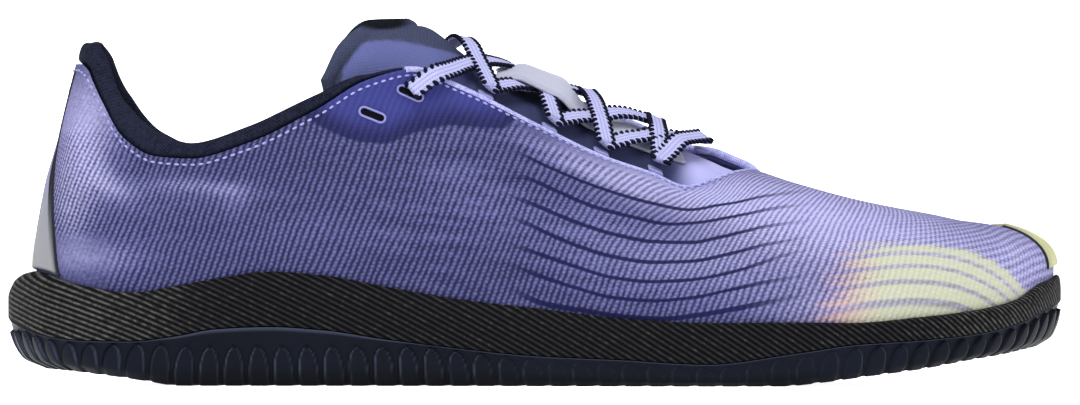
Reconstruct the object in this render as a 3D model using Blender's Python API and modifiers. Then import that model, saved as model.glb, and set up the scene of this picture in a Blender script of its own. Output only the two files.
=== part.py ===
"""Barefoot training shoe for the right foot, standing empty on its sole.

Metres. +X runs to the toe, +Y to the big toe's side, +Z up. The origin is on the
floor, under the middle of the shoe. Every surface is a loft round the shoe: a place
on it is given by "along", the share of the length at the sole's edge, and by a side.
"""

import math

import bmesh
import bpy
import numpy as np

# Driving sizes of the shoe
LENGTH = 0.2645
BALL_WIDTH = 0.1000
HEEL_WIDTH = 0.0700
HEEL_HEIGHT = 0.0803
INSTEP_HEIGHT = 0.0788
TOE_HEIGHT = 0.0395
FIT_GAP = 0.0003

# Sole and sidewall
SOLE_THICKNESS = 0.0045
LUG_DEPTH = 0.0015
LUG_PITCH = 0.0062
LUG_SHARE = 0.66
LUG_RELIEF = 0.0007
FINGER_TOP = 0.0092
TOE_SPRING = 0.0090
HEEL_BEVEL = 0.0035
CHEVRON = 0.0045
SIDEWALL_HEIGHT = 0.0284
SIDEWALL_LIP = 0.0007
WIDEST_RISE = 0.0020

# Upper and what is sewn to it
UPPER_WALL = 0.0018
HEEL_INSET = 0.0083
SIDE_INSET = 0.0027
TOE_INSET = 0.0018
UPPER_TUCK = 0.0040
COLLAR_PAD = 0.0048
COLLAR_PROUD = 0.0048
COLLAR_DEPTH = 0.0230
TAB_RISE = 0.0059
OVERLAY_SEAT = 0.0004
PANEL_THICKNESS = 0.0007
BUMPER_THICKNESS = 0.0007
INSOLE_THICKNESS = 0.0030
SLOT_LENGTH = 0.0066
SLOT_WIDTH = 0.0021

# Tongue and lacing
TONGUE_THICKNESS = 0.0034
TONGUE_CLEAR = 0.0014
TONGUE_WING = 0.0170
TONGUE_TUCK = 0.0018
TONGUE_BULGE = 0.10
LACE_WIDTH = 0.0050
LACE_THICKNESS = 0.0013
LACE_LIFT = 0.0017
LACE_ARCH = 0.022
LACE_SLANT = 0.018
LOOP_WIDTH = 0.0040
LOOP_THICKNESS = 0.0009
LOOP_LENGTH = 0.0052
LOOP_START = 0.0013
LOOP_SINK = 0.0007
KEEPER_WIDTH = 0.0130
KEEPER_THICKNESS = 0.0008

# Fineness of the lofts
STATIONS = 30
TUCK_ROWS = 3
WALL_ROWS = 8

LATERAL, MEDIAL = -1, 1


def table(columns, *rows):
    """A short table: its named columns as arrays."""
    return dict(zip(columns.split(), np.array(rows, dtype=float).T))


# The sole's edge seen from above. middle is a share of the ball width, to the big toe's side;
# half is half the width there, as a share of heel width (of 0) to ball width (of 1).
OUTLINE = table(
    "along middle half of",
    (0.000, 0.000, 0.000, 0.0),
    (0.013, 0.000, 0.200, 0.0),
    (0.043, 0.000, 0.371, 0.0),
    (0.100, -0.005, 0.464, 0.0),
    (0.180, -0.005, 0.493, 0.0),
    (0.270, -0.012, 0.489, 0.0),
    (0.367, -0.030, 0.422, 0.35),
    (0.462, -0.047, 0.405, 0.65),
    (0.557, -0.050, 0.423, 0.9),
    (0.633, -0.035, 0.460, 1.0),
    (0.709, -0.012, 0.487, 1.0),
    (0.766, 0.005, 0.490, 1.0),
    (0.823, 0.030, 0.470, 1.0),
    (0.880, 0.062, 0.422, 1.0),
    (0.926, 0.090, 0.350, 1.0),
    (0.964, 0.115, 0.245, 1.0),
    (0.987, 0.134, 0.140, 1.0),
    (1.000, 0.140, 0.000, 1.0),
)

# The sidewall's top and its joint with the outsole, as shares of the sidewall's height at the heel.
BAND = table(
    "along top joint",
    (0.000, 1.000, 0.609),
    (0.015, 0.995, 0.504),
    (0.030, 0.975, 0.451),
    (0.050, 0.920, 0.412),
    (0.080, 0.860, 0.390),
    (0.120, 0.817, 0.387),
    (0.160, 0.873, 0.430),
    (0.200, 0.940, 0.495),
    (0.250, 1.000, 0.515),
    (0.300, 0.968, 0.486),
    (0.360, 0.866, 0.405),
    (0.420, 0.768, 0.335),
    (0.500, 0.680, 0.261),
    (0.580, 0.595, 0.229),
    (0.660, 0.556, 0.190),
    (0.740, 0.560, 0.280),
    (0.800, 0.556, 0.360),
    (0.860, 0.599, 0.395),
    (0.920, 0.662, 0.455),
    (0.960, 0.746, 0.549),
    (0.985, 0.890, 0.658),
    (1.000, 0.965, 0.760),
)

# The underside's rise off the floor, by place along the length: shares of the bevel and the spring.
UNDERSIDE = table(
    "forward heel toe",
    (0.000, 1.25, 0.00),
    (0.050, 1.10, 0.00),
    (0.100, 0.70, 0.00),
    (0.138, 0.28, 0.00),
    (0.165, 0.00, 0.00),
    (0.728, 0.00, 0.00),
    (0.770, 0.00, 0.11),
    (0.808, 0.00, 0.26),
    (0.865, 0.00, 0.48),
    (0.903, 0.00, 0.68),
    (0.942, 0.00, 0.86),
    (0.960, 0.00, 0.97),
    (1.000, 0.00, 1.18),
)

# How far the sole's rounded edge reaches under, as a share of the heel width.
EDGE = table(
    "along under",
    (0.000, 0.150),
    (0.030, 0.135),
    (0.060, 0.110),
    (0.100, 0.080),
    (0.150, 0.062),
    (0.220, 0.050),
    (0.800, 0.050),
    (0.900, 0.070),
    (0.950, 0.090),
    (1.000, 0.100),
)

# The wall's run from the sole to its top edge: end is the slope that it has turned through, in
# degrees, and full is the exponent of the curve, under 1 boxy and over 1 straight.
WALL = table(
    "along end full",
    (0.000, 35.0, 1.62),
    (0.100, 35.0, 1.50),
    (0.250, 38.0, 1.30),
    (0.385, 48.0, 1.18),
    (0.500, 58.0, 1.10),
    (0.600, 66.0, 1.05),
    (0.660, 76.0, 1.02),
    (0.710, 88.0, 1.00),
    (0.800, 90.0, 0.98),
    (0.900, 88.0, 0.92),
    (1.000, 86.0, 0.86),
)

# The top edge of the wall at each side, round the collar and down the throat, then the ridge over
# the toes that both sides share. forward is a share of the length, side of the ball width, and
# level a share of a height: of 0 is the heel height, 1 the instep height and 2 the toe height.
RIM_LATERAL = table(
    "along forward side level of",
    (0.000, 0.0640, 0.000, 1.000, 0.0),
    (0.012, 0.0690, 0.050, 1.000, 0.0),
    (0.035, 0.0753, 0.093, 0.983, 0.0),
    (0.065, 0.0905, 0.139, 0.882, 0.0),
    (0.100, 0.1110, 0.182, 0.770, 0.0),
    (0.140, 0.1423, 0.224, 0.711, 0.0),
    (0.180, 0.1766, 0.252, 0.704, 0.0),
    (0.230, 0.2283, 0.278, 0.758, 0.5),
    (0.300, 0.2945, 0.286, 0.870, 0.8),
    (0.345, 0.3417, 0.270, 0.966, 1.0),
    (0.385, 0.3840, 0.238, 1.000, 1.0),
    (0.430, 0.4285, 0.212, 0.945, 1.0),
    (0.500, 0.5000, 0.173, 0.826, 1.0),
    (0.560, 0.5647, 0.130, 0.723, 1.0),
    (0.600, 0.6104, 0.095, 0.671, 1.0),
    (0.630, 0.6427, 0.060, 0.630, 1.0),
    (0.655, 0.6674, 0.020, 0.651, 1.0),
    (0.680, 0.6903, -0.030, 0.677, 1.0),
    (0.700, 0.7062, -0.085, 0.684, 1.0),
    (0.710, 0.7116, -0.110, 0.680, 1.0),
)
RIM_MEDIAL = table(
    "along forward side level of",
    (0.000, 0.0640, 0.000, 1.000, 0.0),
    (0.012, 0.0690, 0.050, 1.000, 0.0),
    (0.035, 0.0753, 0.093, 0.983, 0.0),
    (0.065, 0.0905, 0.137, 0.905, 0.0),
    (0.100, 0.1110, 0.178, 0.800, 0.0),
    (0.140, 0.1423, 0.217, 0.714, 0.0),
    (0.180, 0.1766, 0.242, 0.700, 0.0),
    (0.230, 0.2283, 0.262, 0.750, 0.5),
    (0.300, 0.2945, 0.270, 0.866, 0.8),
    (0.345, 0.3417, 0.268, 0.966, 1.0),
    (0.385, 0.3780, 0.262, 1.005, 1.0),
    (0.430, 0.4277, 0.255, 0.990, 1.0),
    (0.500, 0.5040, 0.243, 0.933, 1.0),
    (0.560, 0.5647, 0.237, 0.872, 1.0),
    (0.600, 0.6065, 0.230, 0.815, 1.0),
    (0.630, 0.6408, 0.220, 0.761, 1.0),
    (0.655, 0.6674, 0.205, 0.750, 1.0),
    (0.680, 0.6903, 0.180, 0.722, 1.0),
    (0.700, 0.7062, 0.145, 0.697, 1.0),
    (0.710, 0.7116, 0.110, 0.680, 1.0),
)
RIDGE = table(
    "along forward side level of",
    (0.750, 0.7378, 0.115, 0.867, 1.5),
    (0.800, 0.7664, 0.120, 1.240, 2.0),
    (0.850, 0.7987, 0.125, 1.180, 2.0),
    (0.900, 0.8311, 0.130, 1.132, 2.0),
    (0.950, 0.8615, 0.135, 1.089, 2.0),
    (0.980, 0.8767, 0.138, 1.056, 2.0),
    (1.000, 0.8843, 0.140, 1.042, 2.0),
)

# How far the lining stands above the upper's edge, from the heel tab to the throat's corner, as
# shares of the tab's rise and of the proud height, and the share of its full padding.
LINING = table(
    "along tab proud pad",
    (0.000, 1.00, 0.00, 0.90),
    (0.012, 1.00, 0.05, 0.90),
    (0.035, 0.80, 0.70, 0.95),
    (0.065, 0.28, 1.88, 1.00),
    (0.100, 0.00, 2.05, 1.00),
    (0.120, 0.00, 1.85, 1.00),
    (0.145, 0.00, 1.45, 1.00),
    (0.180, 0.00, 1.00, 0.95),
    (0.250, 0.00, 1.00, 0.85),
    (0.310, 0.00, 0.80, 0.68),
    (0.350, 0.00, 0.35, 0.52),
    (0.378, 0.00, 0.16, 0.45),
)

# The tongue's free top, from its upper edge down: its middle line, then how far each side reaches
# out, back and down from it. forward and back are shares of the length, side and out of the ball
# width, level, drop and roll of the instep height. reach and fall are the exponents of the way back
# and of the drop along a side, and roll lifts the inner side's edge over the outer side's.
FLAP = table(
    "forward side level lat_out lat_back lat_drop med_out med_back med_drop reach fall roll",
    (0.375, 0.022, 1.173, 0.218, 0.0745, 0.185, 0.172, 0.072, 0.210, 0.35, 1.40, 0.018),
    (0.390, 0.028, 1.146, 0.222, 0.080, 0.300, 0.175, 0.076, 0.300, 0.50, 1.50, 0.012),
    (0.408, 0.036, 1.106, 0.228, 0.074, 0.410, 0.180, 0.068, 0.370, 0.80, 1.60, 0.000),
)

# The tongue's middle line down the throat: along says which places of the two edges it runs under.
THROAT = table(
    "along forward side level",
    (0.420, 0.4300, 0.052, 1.046),
    (0.450, 0.4550, 0.062, 0.992),
    (0.500, 0.5010, 0.074, 0.918),
    (0.555, 0.5560, 0.082, 0.844),
    (0.610, 0.6110, 0.090, 0.772),
    (0.650, 0.6520, 0.098, 0.712),
    (0.690, 0.6960, 0.108, 0.640),
    (0.730, 0.7250, 0.112, 0.602),
)

# Where the laces turn: by side, the place along the shoe of each loop from the instep down.
LOOPS = {LATERAL: (0.455, 0.513, 0.558, 0.603), MEDIAL: (0.485, 0.541, 0.603, 0.646)}
# The slots through each side of the upper, from the top one down: it takes the lace's end.
SLOTS = table(
    "side forward level lean",
    (LATERAL, 0.3820, 0.925, 24.0),
    (LATERAL, 0.3460, 0.857, 22.0),
    (MEDIAL, 0.4080, 0.925, 18.0),
    (MEDIAL, 0.3700, 0.860, 18.0),
)

MATERIALS = {
    "outsole": ((0.022, 0.030, 0.052), 0.62),
    "sidewall_band": ((0.024, 0.023, 0.022), 0.70),
    "upper": ((0.185, 0.165, 0.520), 0.85),
    "collar_lining": ((0.018, 0.020, 0.055), 0.80),
    "tongue": ((0.150, 0.145, 0.400), 0.85),
    "insole": ((0.060, 0.060, 0.080), 0.90),
    "heel_panel": ((0.400, 0.400, 0.430), 0.70),
    "toe_bumper": ((0.620, 0.620, 0.170), 0.55),
    "lace_keeper": ((0.450, 0.440, 0.480), 0.45),
    "laces": ((0.640, 0.640, 0.880), 0.85),
    "lace_loop": ((0.380, 0.370, 0.700), 0.85),
}


def quarter_turn(along):
    """Spreads the places along the shoe so that both round ends get enough of them."""
    return np.arccos(np.clip(1 - 2 * np.asarray(along, float), -1, 1)) / math.pi


def curve(places, values, at):
    """A smooth curve through the values that never swings past them."""
    places, values, at = (np.asarray(v, float) for v in (places, values, at))
    steps = np.diff(places)
    rises = np.diff(values) / steps
    slopes = np.empty_like(values)
    slopes[0], slopes[-1] = rises[0], rises[-1]
    before, after = rises[:-1], rises[1:]
    weight_before, weight_after = 2 * steps[1:] + steps[:-1], steps[1:] + 2 * steps[:-1]
    same_way = before * after > 0
    safe_before, safe_after = np.where(same_way, before, 1), np.where(same_way, after, 1)
    mean = (weight_before + weight_after) / (weight_before / safe_before + weight_after / safe_after)
    slopes[1:-1] = np.where(same_way, mean, 0)
    span = np.clip(np.searchsorted(places, at, side="right") - 1, 0, len(steps) - 1)
    width = steps[span]
    s = np.clip((at - places[span]) / width, 0, 1)
    start, end = values[span], values[span + 1]
    return (
        start * (1 + 2 * s) * (1 - s) ** 2
        + slopes[span] * width * s * (1 - s) ** 2
        + end * s**2 * (3 - 2 * s)
        + slopes[span + 1] * width * s**2 * (s - 1)
    )


def read(tab, name, turn):
    """A table's column at a quarter turn."""
    return curve(quarter_turn(tab["along"]), tab[name], turn)


def unit(vectors):
    return vectors / np.linalg.norm(vectors, axis=-1, keepdims=True)


def at_length(forward):
    """X of a share of the length."""
    return (np.asarray(forward, float) - 0.5) * LENGTH


def height_of(kind):
    """The named height that a level is a share of."""
    return np.interp(kind, (0, 1, 2), (HEEL_HEIGHT, INSTEP_HEIGHT, TOE_HEIGHT))


def side_and_turn(place):
    """A place on the loop round the shoe: 0 is the heel's back, 1 the toe, 2 the heel's back again."""
    place = np.mod(np.asarray(place, float), 2)
    return np.where(place <= 1, LATERAL, MEDIAL), np.where(place <= 1, place, 2 - place)


def outline(place):
    """The sole's edge seen from above."""
    side, turn = side_and_turn(place)
    width = HEEL_WIDTH + (BALL_WIDTH - HEEL_WIDTH) * read(OUTLINE, "of", turn)
    middle = read(OUTLINE, "middle", turn) * BALL_WIDTH
    half = read(OUTLINE, "half", turn) * width
    x = at_length((1 - np.cos(math.pi * turn)) / 2)
    return np.stack([x, middle + side * half], axis=-1)


def outward(place):
    """The direction straight out of the sole's edge, seen from above."""
    step = 1e-3
    ahead = outline(place + step) - outline(place - step)
    return unit(np.stack([-ahead[..., 1], ahead[..., 0]], axis=-1)) * -1


def rises(forward):
    """The underside's height and the footbed's, at a share of the length."""
    heel = curve(UNDERSIDE["forward"], UNDERSIDE["heel"], forward) * HEEL_BEVEL
    toe = curve(UNDERSIDE["forward"], UNDERSIDE["toe"], forward) * TOE_SPRING
    return heel + toe, SOLE_THICKNESS + heel / 2 + toe


def share_of_length(x):
    return np.clip(np.asarray(x) / LENGTH + 0.5, 0, 1)


def rim(place):
    """The wall's top edge, and the ridge over the toes."""
    side, turn = side_and_turn(place)
    points = np.empty(np.shape(turn) + (3,))
    for which, tab in ((LATERAL, RIM_LATERAL), (MEDIAL, RIM_MEDIAL)):
        here = side == which
        places = quarter_turn(np.concatenate([tab["along"], RIDGE["along"]]))
        forward = np.concatenate([tab["forward"], RIDGE["forward"]])
        across = np.concatenate([tab["side"] * which, RIDGE["side"]])
        level = np.concatenate([tab["level"] * height_of(tab["of"]), RIDGE["level"] * height_of(RIDGE["of"])])
        points[here, 0] = at_length(curve(places, forward, turn[here]))
        points[here, 1] = curve(places, across, turn[here]) * BALL_WIDTH
        points[here, 2] = curve(places, level, turn[here])
    return points


def inset(turn):
    """How far the upper's widest line lies inside the sole's edge."""
    heel = np.clip(1 - turn / 0.22, 0, 1) ** 2
    toe = np.clip((turn - 0.80) / 0.20, 0, 1) ** 2
    return SIDE_INSET + heel * (HEEL_INSET - SIDE_INSET) + toe * (TOE_INSET - SIDE_INSET)


def wall_run(place, samples=49):
    """Dense points up each wall: from under the foot to the widest line, and from there to the top."""
    place = np.atleast_1d(place)
    _, turn = side_and_turn(place)
    edge, out, top = outline(place), outward(place), rim(place)
    widest = edge - out * inset(turn)[:, None]
    feather = widest - out * UPPER_TUCK
    widest_z = read(BAND, "top", turn) * SIDEWALL_HEIGHT + WIDEST_RISE
    feather_z = rises(share_of_length(feather[:, 0]))[1] + FIT_GAP
    s = np.linspace(0, 1, samples)
    under = np.sin(s * math.pi / 2)
    tuck = np.empty((len(place), samples, 3))
    tuck[..., :2] = feather[:, None] + (widest - feather)[:, None] * under[None, :, None]
    fall = 1 - np.cos(s * math.pi / 2)
    tuck[..., 2] = feather_z[:, None] + (widest_z - feather_z)[:, None] * fall
    end = np.radians(read(WALL, "end", turn))[:, None]
    full = read(WALL, "full", turn)[:, None]
    angle = s[None] ** (1 / full) * end
    over = (1 - np.cos(angle) ** full) / (1 - np.cos(end) ** full)
    up = (np.sin(angle) / np.sin(end)) ** full
    wall = np.empty_like(tuck)
    wall[..., :2] = widest[:, None] + (top[:, :2] - widest)[:, None] * over[..., None]
    wall[..., 2] = widest_z[:, None] + (top[:, 2] - widest_z)[:, None] * up
    return tuck, wall


def spaced(runs, shares):
    """Points at even shares of the way along each run."""
    steps = np.linalg.norm(np.diff(runs, axis=1), axis=-1)
    way = np.concatenate([np.zeros((len(runs), 1)), np.cumsum(steps, axis=1)], axis=1)
    way /= way[:, -1:]
    found = np.empty((len(runs), len(shares), 3))
    for i, run in enumerate(runs):
        for k in range(3):
            found[i, :, k] = np.interp(shares, way[i], run[:, k])
    return found


def shell(place, up):
    """The upper's outer surface. up runs from -1 under the foot, through 0 at its widest, to 1 at the top."""
    up = np.asarray(up, float)
    tuck, wall = wall_run(place)
    low = spaced(tuck, np.clip(up + 1, 0, 1))
    high = spaced(wall, np.clip(up, 0, 1))
    return np.where((up < 0)[None, :, None], low, high)


def shell_normals(place, up):
    """The direction out of the upper's surface."""
    place, up = np.atleast_1d(place), np.asarray(up, float)
    step = 2e-3
    along = shell(place + step, up) - shell(place - step, up)
    rise = shell(place, np.minimum(up + step, 1)) - shell(place, np.maximum(up - step, -1))
    return unit(np.cross(along, rise))


def offset_shell(place, up, distance):
    """The upper's surface moved outwards, or inwards where the distance is negative."""
    return shell(place, up) + shell_normals(place, up) * np.asarray(distance)[..., None]


def shell_at_height(place, heights):
    """Where the wall is at given heights, one row of heights for each place."""
    tuck, wall = wall_run(place)
    runs = np.concatenate([tuck[:, :-1], wall], axis=1)
    found = np.empty(heights.shape + (3,))
    for i, run in enumerate(runs):
        for k in range(2):
            found[i, :, k] = np.interp(heights[i], run[:, 2], run[:, k])
    found[..., 2] = heights
    return found


def loop_places(count):
    """Places round the shoe, the same at both sides: heel to toe, then back."""
    one_way = np.linspace(0, 1, count + 1)
    return np.concatenate([one_way, 2 - one_way[-2:0:-1]])


def material(name):
    colour, roughness = MATERIALS[name]
    made = bpy.data.materials.get(name) or bpy.data.materials.new(name)
    made.use_nodes = True
    shader = made.node_tree.nodes["Principled BSDF"]
    shader.inputs["Base Color"].default_value = (*colour, 1)
    shader.inputs["Roughness"].default_value = roughness
    shader.inputs["Metallic"].default_value = 0
    made.diffuse_color = (*colour, 1)
    return made


def new_collection(name):
    made = bpy.data.collections.new(name)
    bpy.context.scene.collection.children.link(made)
    return made


def new_object(name, points, faces, collection, finish=None):
    """A mesh object from points and faces, its doubles merged and its faces turned outwards."""
    mesh = bpy.data.meshes.new(name)
    mesh.from_pydata([tuple(map(float, p)) for p in points], [], faces)
    work = bmesh.new()
    work.from_mesh(mesh)
    bmesh.ops.remove_doubles(work, verts=work.verts, dist=1e-7)
    bmesh.ops.recalc_face_normals(work, faces=work.faces)
    work.to_mesh(mesh)
    work.free()
    made = bpy.data.objects.new(name, mesh)
    collection.objects.link(made)
    if finish:
        mesh.materials.append(material(finish))
        mesh.shade_smooth()
        mesh.set_sharp_from_angle(angle=math.radians(35))
    return made


def grid_faces(rows, columns, wrap_rows=False, wrap_columns=False):
    """Quads over a grid of points, closed on itself where asked."""
    faces = []
    for i in range(rows if wrap_rows else rows - 1):
        for j in range(columns if wrap_columns else columns - 1):
            near, far = i * columns, (i + 1) % rows * columns
            right = (j + 1) % columns
            faces.append((near + j, near + right, far + right, far + j))
    return faces


def ring_solid(name, sections, collection, finish, closed=True):
    """A loft through closed sections: a full ring, or an open one with its ends capped."""
    count, around = sections.shape[:2]
    faces = grid_faces(count, around, wrap_rows=closed, wrap_columns=True)
    if not closed:
        faces.append(tuple(range(around)))
        faces.append(tuple((count - 1) * around + k for k in range(around)))
    return new_object(name, sections.reshape(-1, 3), faces, collection, finish)


def sheet_solid(name, inner, outer, collection, finish):
    """A closed solid between two matching grids."""
    rows, columns = inner.shape[:2]
    half = rows * columns
    faces = grid_faces(rows, columns)
    faces += [tuple(k + half for k in face) for face in grid_faces(rows, columns)]
    border = [j for j in range(columns)]
    border += [i * columns + columns - 1 for i in range(1, rows)]
    border += [(rows - 1) * columns + j for j in range(columns - 2, -1, -1)]
    border += [i * columns for i in range(rows - 2, 0, -1)]
    for a, b in zip(border, border[1:] + border[:1]):
        faces.append((a, b, b + half, a + half))
    points = np.concatenate([inner.reshape(-1, 3), outer.reshape(-1, 3)])
    return new_object(name, points, faces, collection, finish)


def cut_with(target, cutters):
    """Takes each cutter out of the target."""
    for cutter in cutters:
        cutter.hide_render = True
        cutter.display_type = "WIRE"
        cut = target.modifiers.new(cutter.name, "BOOLEAN")
        cut.operation = "DIFFERENCE"
        cut.object = cutter


def lug_places():
    """Places round each side for the lugs: two on a lug, one down in the groove after it."""
    fine = np.linspace(0, 1, 801)
    edge = outline(fine)
    way = np.concatenate([[0], np.cumsum(np.linalg.norm(np.diff(edge, axis=0), axis=1))])
    count = int(round(way[-1] / LUG_PITCH))
    shares, raised = [], []
    for k in range(count):
        for at, is_lug in ((0, 1), (LUG_SHARE, 1), ((1 + LUG_SHARE) / 2, 0)):
            shares.append((k + at) / count)
            raised.append(is_lug)
    shares.append(1.0)
    raised.append(1)
    return np.interp(shares, way / way[-1], fine), np.array(raised)


def make_outsole(parts):
    """A shallow rubber tray: lugs below and as fingers up its edge, a ledge for the sidewall."""
    half_places, half_raised = lug_places()
    count = len(half_places) - 1
    place = np.concatenate([half_places, 2 - half_places[-2:0:-1]])
    raised = np.concatenate([half_raised, half_raised[-2:0:-1]])
    _, turn = side_and_turn(place)
    edge, out = outline(place), outward(place)
    joint = read(BAND, "joint", turn) * SIDEWALL_HEIGHT
    under = read(EDGE, "under", turn) * HEEL_WIDTH
    bottom_xy = edge - out * under[:, None]
    sole_z, bed_z = rises(share_of_length(bottom_xy[:, 0]))
    groove = (1 - raised) * LUG_DEPTH
    finger = np.minimum(np.maximum(sole_z + FINGER_TOP, joint * 0.6), joint - 0.0012)

    def level(points, heights):
        return np.concatenate([points, heights[:, None]], axis=1)

    bed = shell_at_height(place, (bed_z + (joint - bed_z) * 0.45)[:, None])[:, 0]
    bed_xy = bed[:, :2] + out * FIT_GAP
    ledge_in = shell_at_height(place, joint[:, None])[:, 0, :2] + out * FIT_GAP
    low = sole_z + (finger - sole_z) * 0.30
    rings = [
        level(bed_xy, bed_z),
        level(ledge_in, joint),
        level(edge - out * 0.0002, joint),
        level(edge - out * (0.10 * under - LUG_RELIEF * (raised - 0.6))[:, None], finger),
        level(edge - out * (0.42 * under - LUG_RELIEF * (raised - 0.6))[:, None], low),
        level(bottom_xy, sole_z + groove),
    ]
    around = len(place)
    points = np.concatenate(rings)
    faces = grid_faces(len(rings), around, wrap_columns=True)
    # The bed closes the first ring, the underside the last, with a chevron's tip on its middle line.
    last = (len(rings) - 1) * around
    middles = []
    for j in range(1, count):
        a, b = points[last + j], points[last + around - j]
        middle = (a + b) / 2
        reach = min(1.0, np.linalg.norm(a - b) / HEEL_WIDTH)
        middle[0] += CHEVRON * reach
        middle[2] = rises(share_of_length(middle[0]))[0] + groove[j]
        middles.append(middle)
    first_middle = len(points)
    points = np.concatenate([points, middles])
    for j in range(1, count - 1):
        faces.append((j, j + 1, around - j - 1, around - j))
        m = first_middle + j - 1
        faces.append((last + j, last + j + 1, m + 1, m))
        faces.append((m, m + 1, last + around - j - 1, last + around - j))
    faces.append((0, 1, around - 1))
    faces.append((count, around - count + 1, count - 1))
    faces.append((last, last + 1, first_middle))
    faces.append((last, first_middle, last + around - 1))
    end = first_middle + count - 2
    faces.append((last + count - 1, last + count, end))
    faces.append((end, last + count, last + count + 1))
    return new_object("outsole", points, faces, parts, "outsole")


def make_sidewall(parts):
    """The ribbed band between outsole and upper, thick at its foot and with a thin lip."""
    place = loop_places(STATIONS)
    _, turn = side_and_turn(place)
    edge, out = outline(place), outward(place)
    top = read(BAND, "top", turn) * SIDEWALL_HEIGHT
    foot = read(BAND, "joint", turn) * SIDEWALL_HEIGHT + FIT_GAP
    shares = np.array([0.0, 0.30, 0.65, 1.0])
    heights = foot[:, None] + (top - foot)[:, None] * shares
    inner = shell_at_height(place, heights)
    inner[..., :2] += out[:, None] * FIT_GAP
    reach = np.einsum("ij,ij->i", edge - inner[:, -1, :2], out)
    outer = []
    for drop, share in ((0.0, 0.0), (0.07, 0.45), (0.25, 0.80), (0.62, 1.0), (1.0, 1.0)):
        beyond = SIDEWALL_LIP + (reach - SIDEWALL_LIP) * share
        xy = inner[:, -1, :2] + out * beyond[:, None]
        z = top - (top - foot) * drop
        outer.append(np.concatenate([xy, z[:, None]], axis=1))
    sections = np.concatenate([inner, np.stack(outer, axis=1)], axis=1)
    return ring_solid("sidewall_band", sections, parts, "sidewall_band")


def slot_cutter(name, row, cutters):
    """A long round-ended pin across the wall, lying along the throat's edge."""
    x, z = at_length(SLOTS["forward"][row]), SLOTS["level"][row] * INSTEP_HEIGHT
    side = SLOTS["side"][row]
    lean = math.radians(SLOTS["lean"][row])
    reach = BALL_WIDTH / 2
    half, radius = (SLOT_LENGTH - SLOT_WIDTH) / 2, SLOT_WIDTH / 2
    ring = []
    for start, middle in ((-90, half), (90, -half)):
        for step in range(7):
            angle = math.radians(start + step * 30)
            ring.append((middle + radius * math.cos(angle), radius * math.sin(angle)))
    sections = []
    for y in (side * reach * 0.24, side * reach):
        turned = [(a * math.cos(lean) + b * math.sin(lean), b * math.cos(lean) - a * math.sin(lean)) for a, b in ring]
        sections.append([(x + a, y, z + b) for a, b in turned])
    return ring_solid(name, np.array(sections), cutters, None, closed=False)


def make_upper(parts, cutters):
    """One hollow knitted shell, open at the collar, down the throat and underneath."""
    place = loop_places(STATIONS)
    up = np.concatenate([np.linspace(-1, 0, TUCK_ROWS + 1)[:-1], np.linspace(0, 1, WALL_ROWS + 1)])
    points = shell(place, up)
    faces = grid_faces(len(place), len(up), wrap_rows=True)
    upper = new_object("upper", points.reshape(-1, 3), faces, parts, "upper")
    wall = upper.modifiers.new("wall", "SOLIDIFY")
    wall.thickness = UPPER_WALL
    wall.offset = -1
    slots = []
    for row in range(len(SLOTS["side"])):
        slots.append(slot_cutter(f"slot_{row + 1}", row, cutters))
    cut_with(upper, slots)
    return upper


def collar_places():
    """Places from the lateral end of the lining, round the heel, to its medial end."""
    last = quarter_turn(LINING["along"][-1])
    step = 1 / STATIONS
    count = int(last / step)
    one_way = np.append(np.arange(count + 1) * step, last)
    return np.concatenate([-one_way[:0:-1], one_way])


def make_collar(parts):
    """The padded lining: it stands proud of the upper's edge and rises to a tab at the heel."""
    place = collar_places()
    _, turn = side_and_turn(place)
    proud = read(LINING, "tab", turn) * TAB_RISE + read(LINING, "proud", turn) * COLLAR_PROUD
    top = shell(place, [1.0])[:, 0]
    inward = -shell_normals(place, [0.97])[:, 0]
    lower = shell(place, [0.93])[:, 0]
    rise = unit(top - lower)
    pad = (read(LINING, "pad", turn) * COLLAR_PAD)[:, None]
    over = np.clip(proud / (4 * FIT_GAP) - 1, 0, 1)
    against = UPPER_WALL + 2 * FIT_GAP
    deep = COLLAR_DEPTH / (HEEL_HEIGHT - SIDEWALL_HEIGHT)
    sections = []
    for k in (0.0, 0.35, 0.70):
        sections.append(offset_shell(place, [1 - deep * (1 - k)], np.array([-against]))[:, 0])
    step_in = (against * (1 - over) + FIT_GAP * over)[:, None]
    sections.append(top + inward * against + rise * FIT_GAP * 3)
    sections.append(top + inward * step_in + rise * FIT_GAP * 4)
    height = np.maximum(proud, 6 * FIT_GAP)[:, None]
    for across, share in ((0.02, 0.92), (0.36, 1.0), (0.86, 0.86)):
        sections.append(top + inward * (step_in + across * pad) + rise * height * share)
    for k, swell in ((0.93, 1.0), (0.60, 1.05), (0.25, 0.70), (0.0, 0.25)):
        inside = shell(place, [1 - deep * (1 - k)])[:, 0]
        normals = shell_normals(place, [1 - deep * (1 - k)])[:, 0]
        sections.append(inside - normals * (against + swell * pad))
    return ring_solid("collar_lining", np.stack(sections, axis=1), parts, "collar_lining", closed=False)


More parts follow.
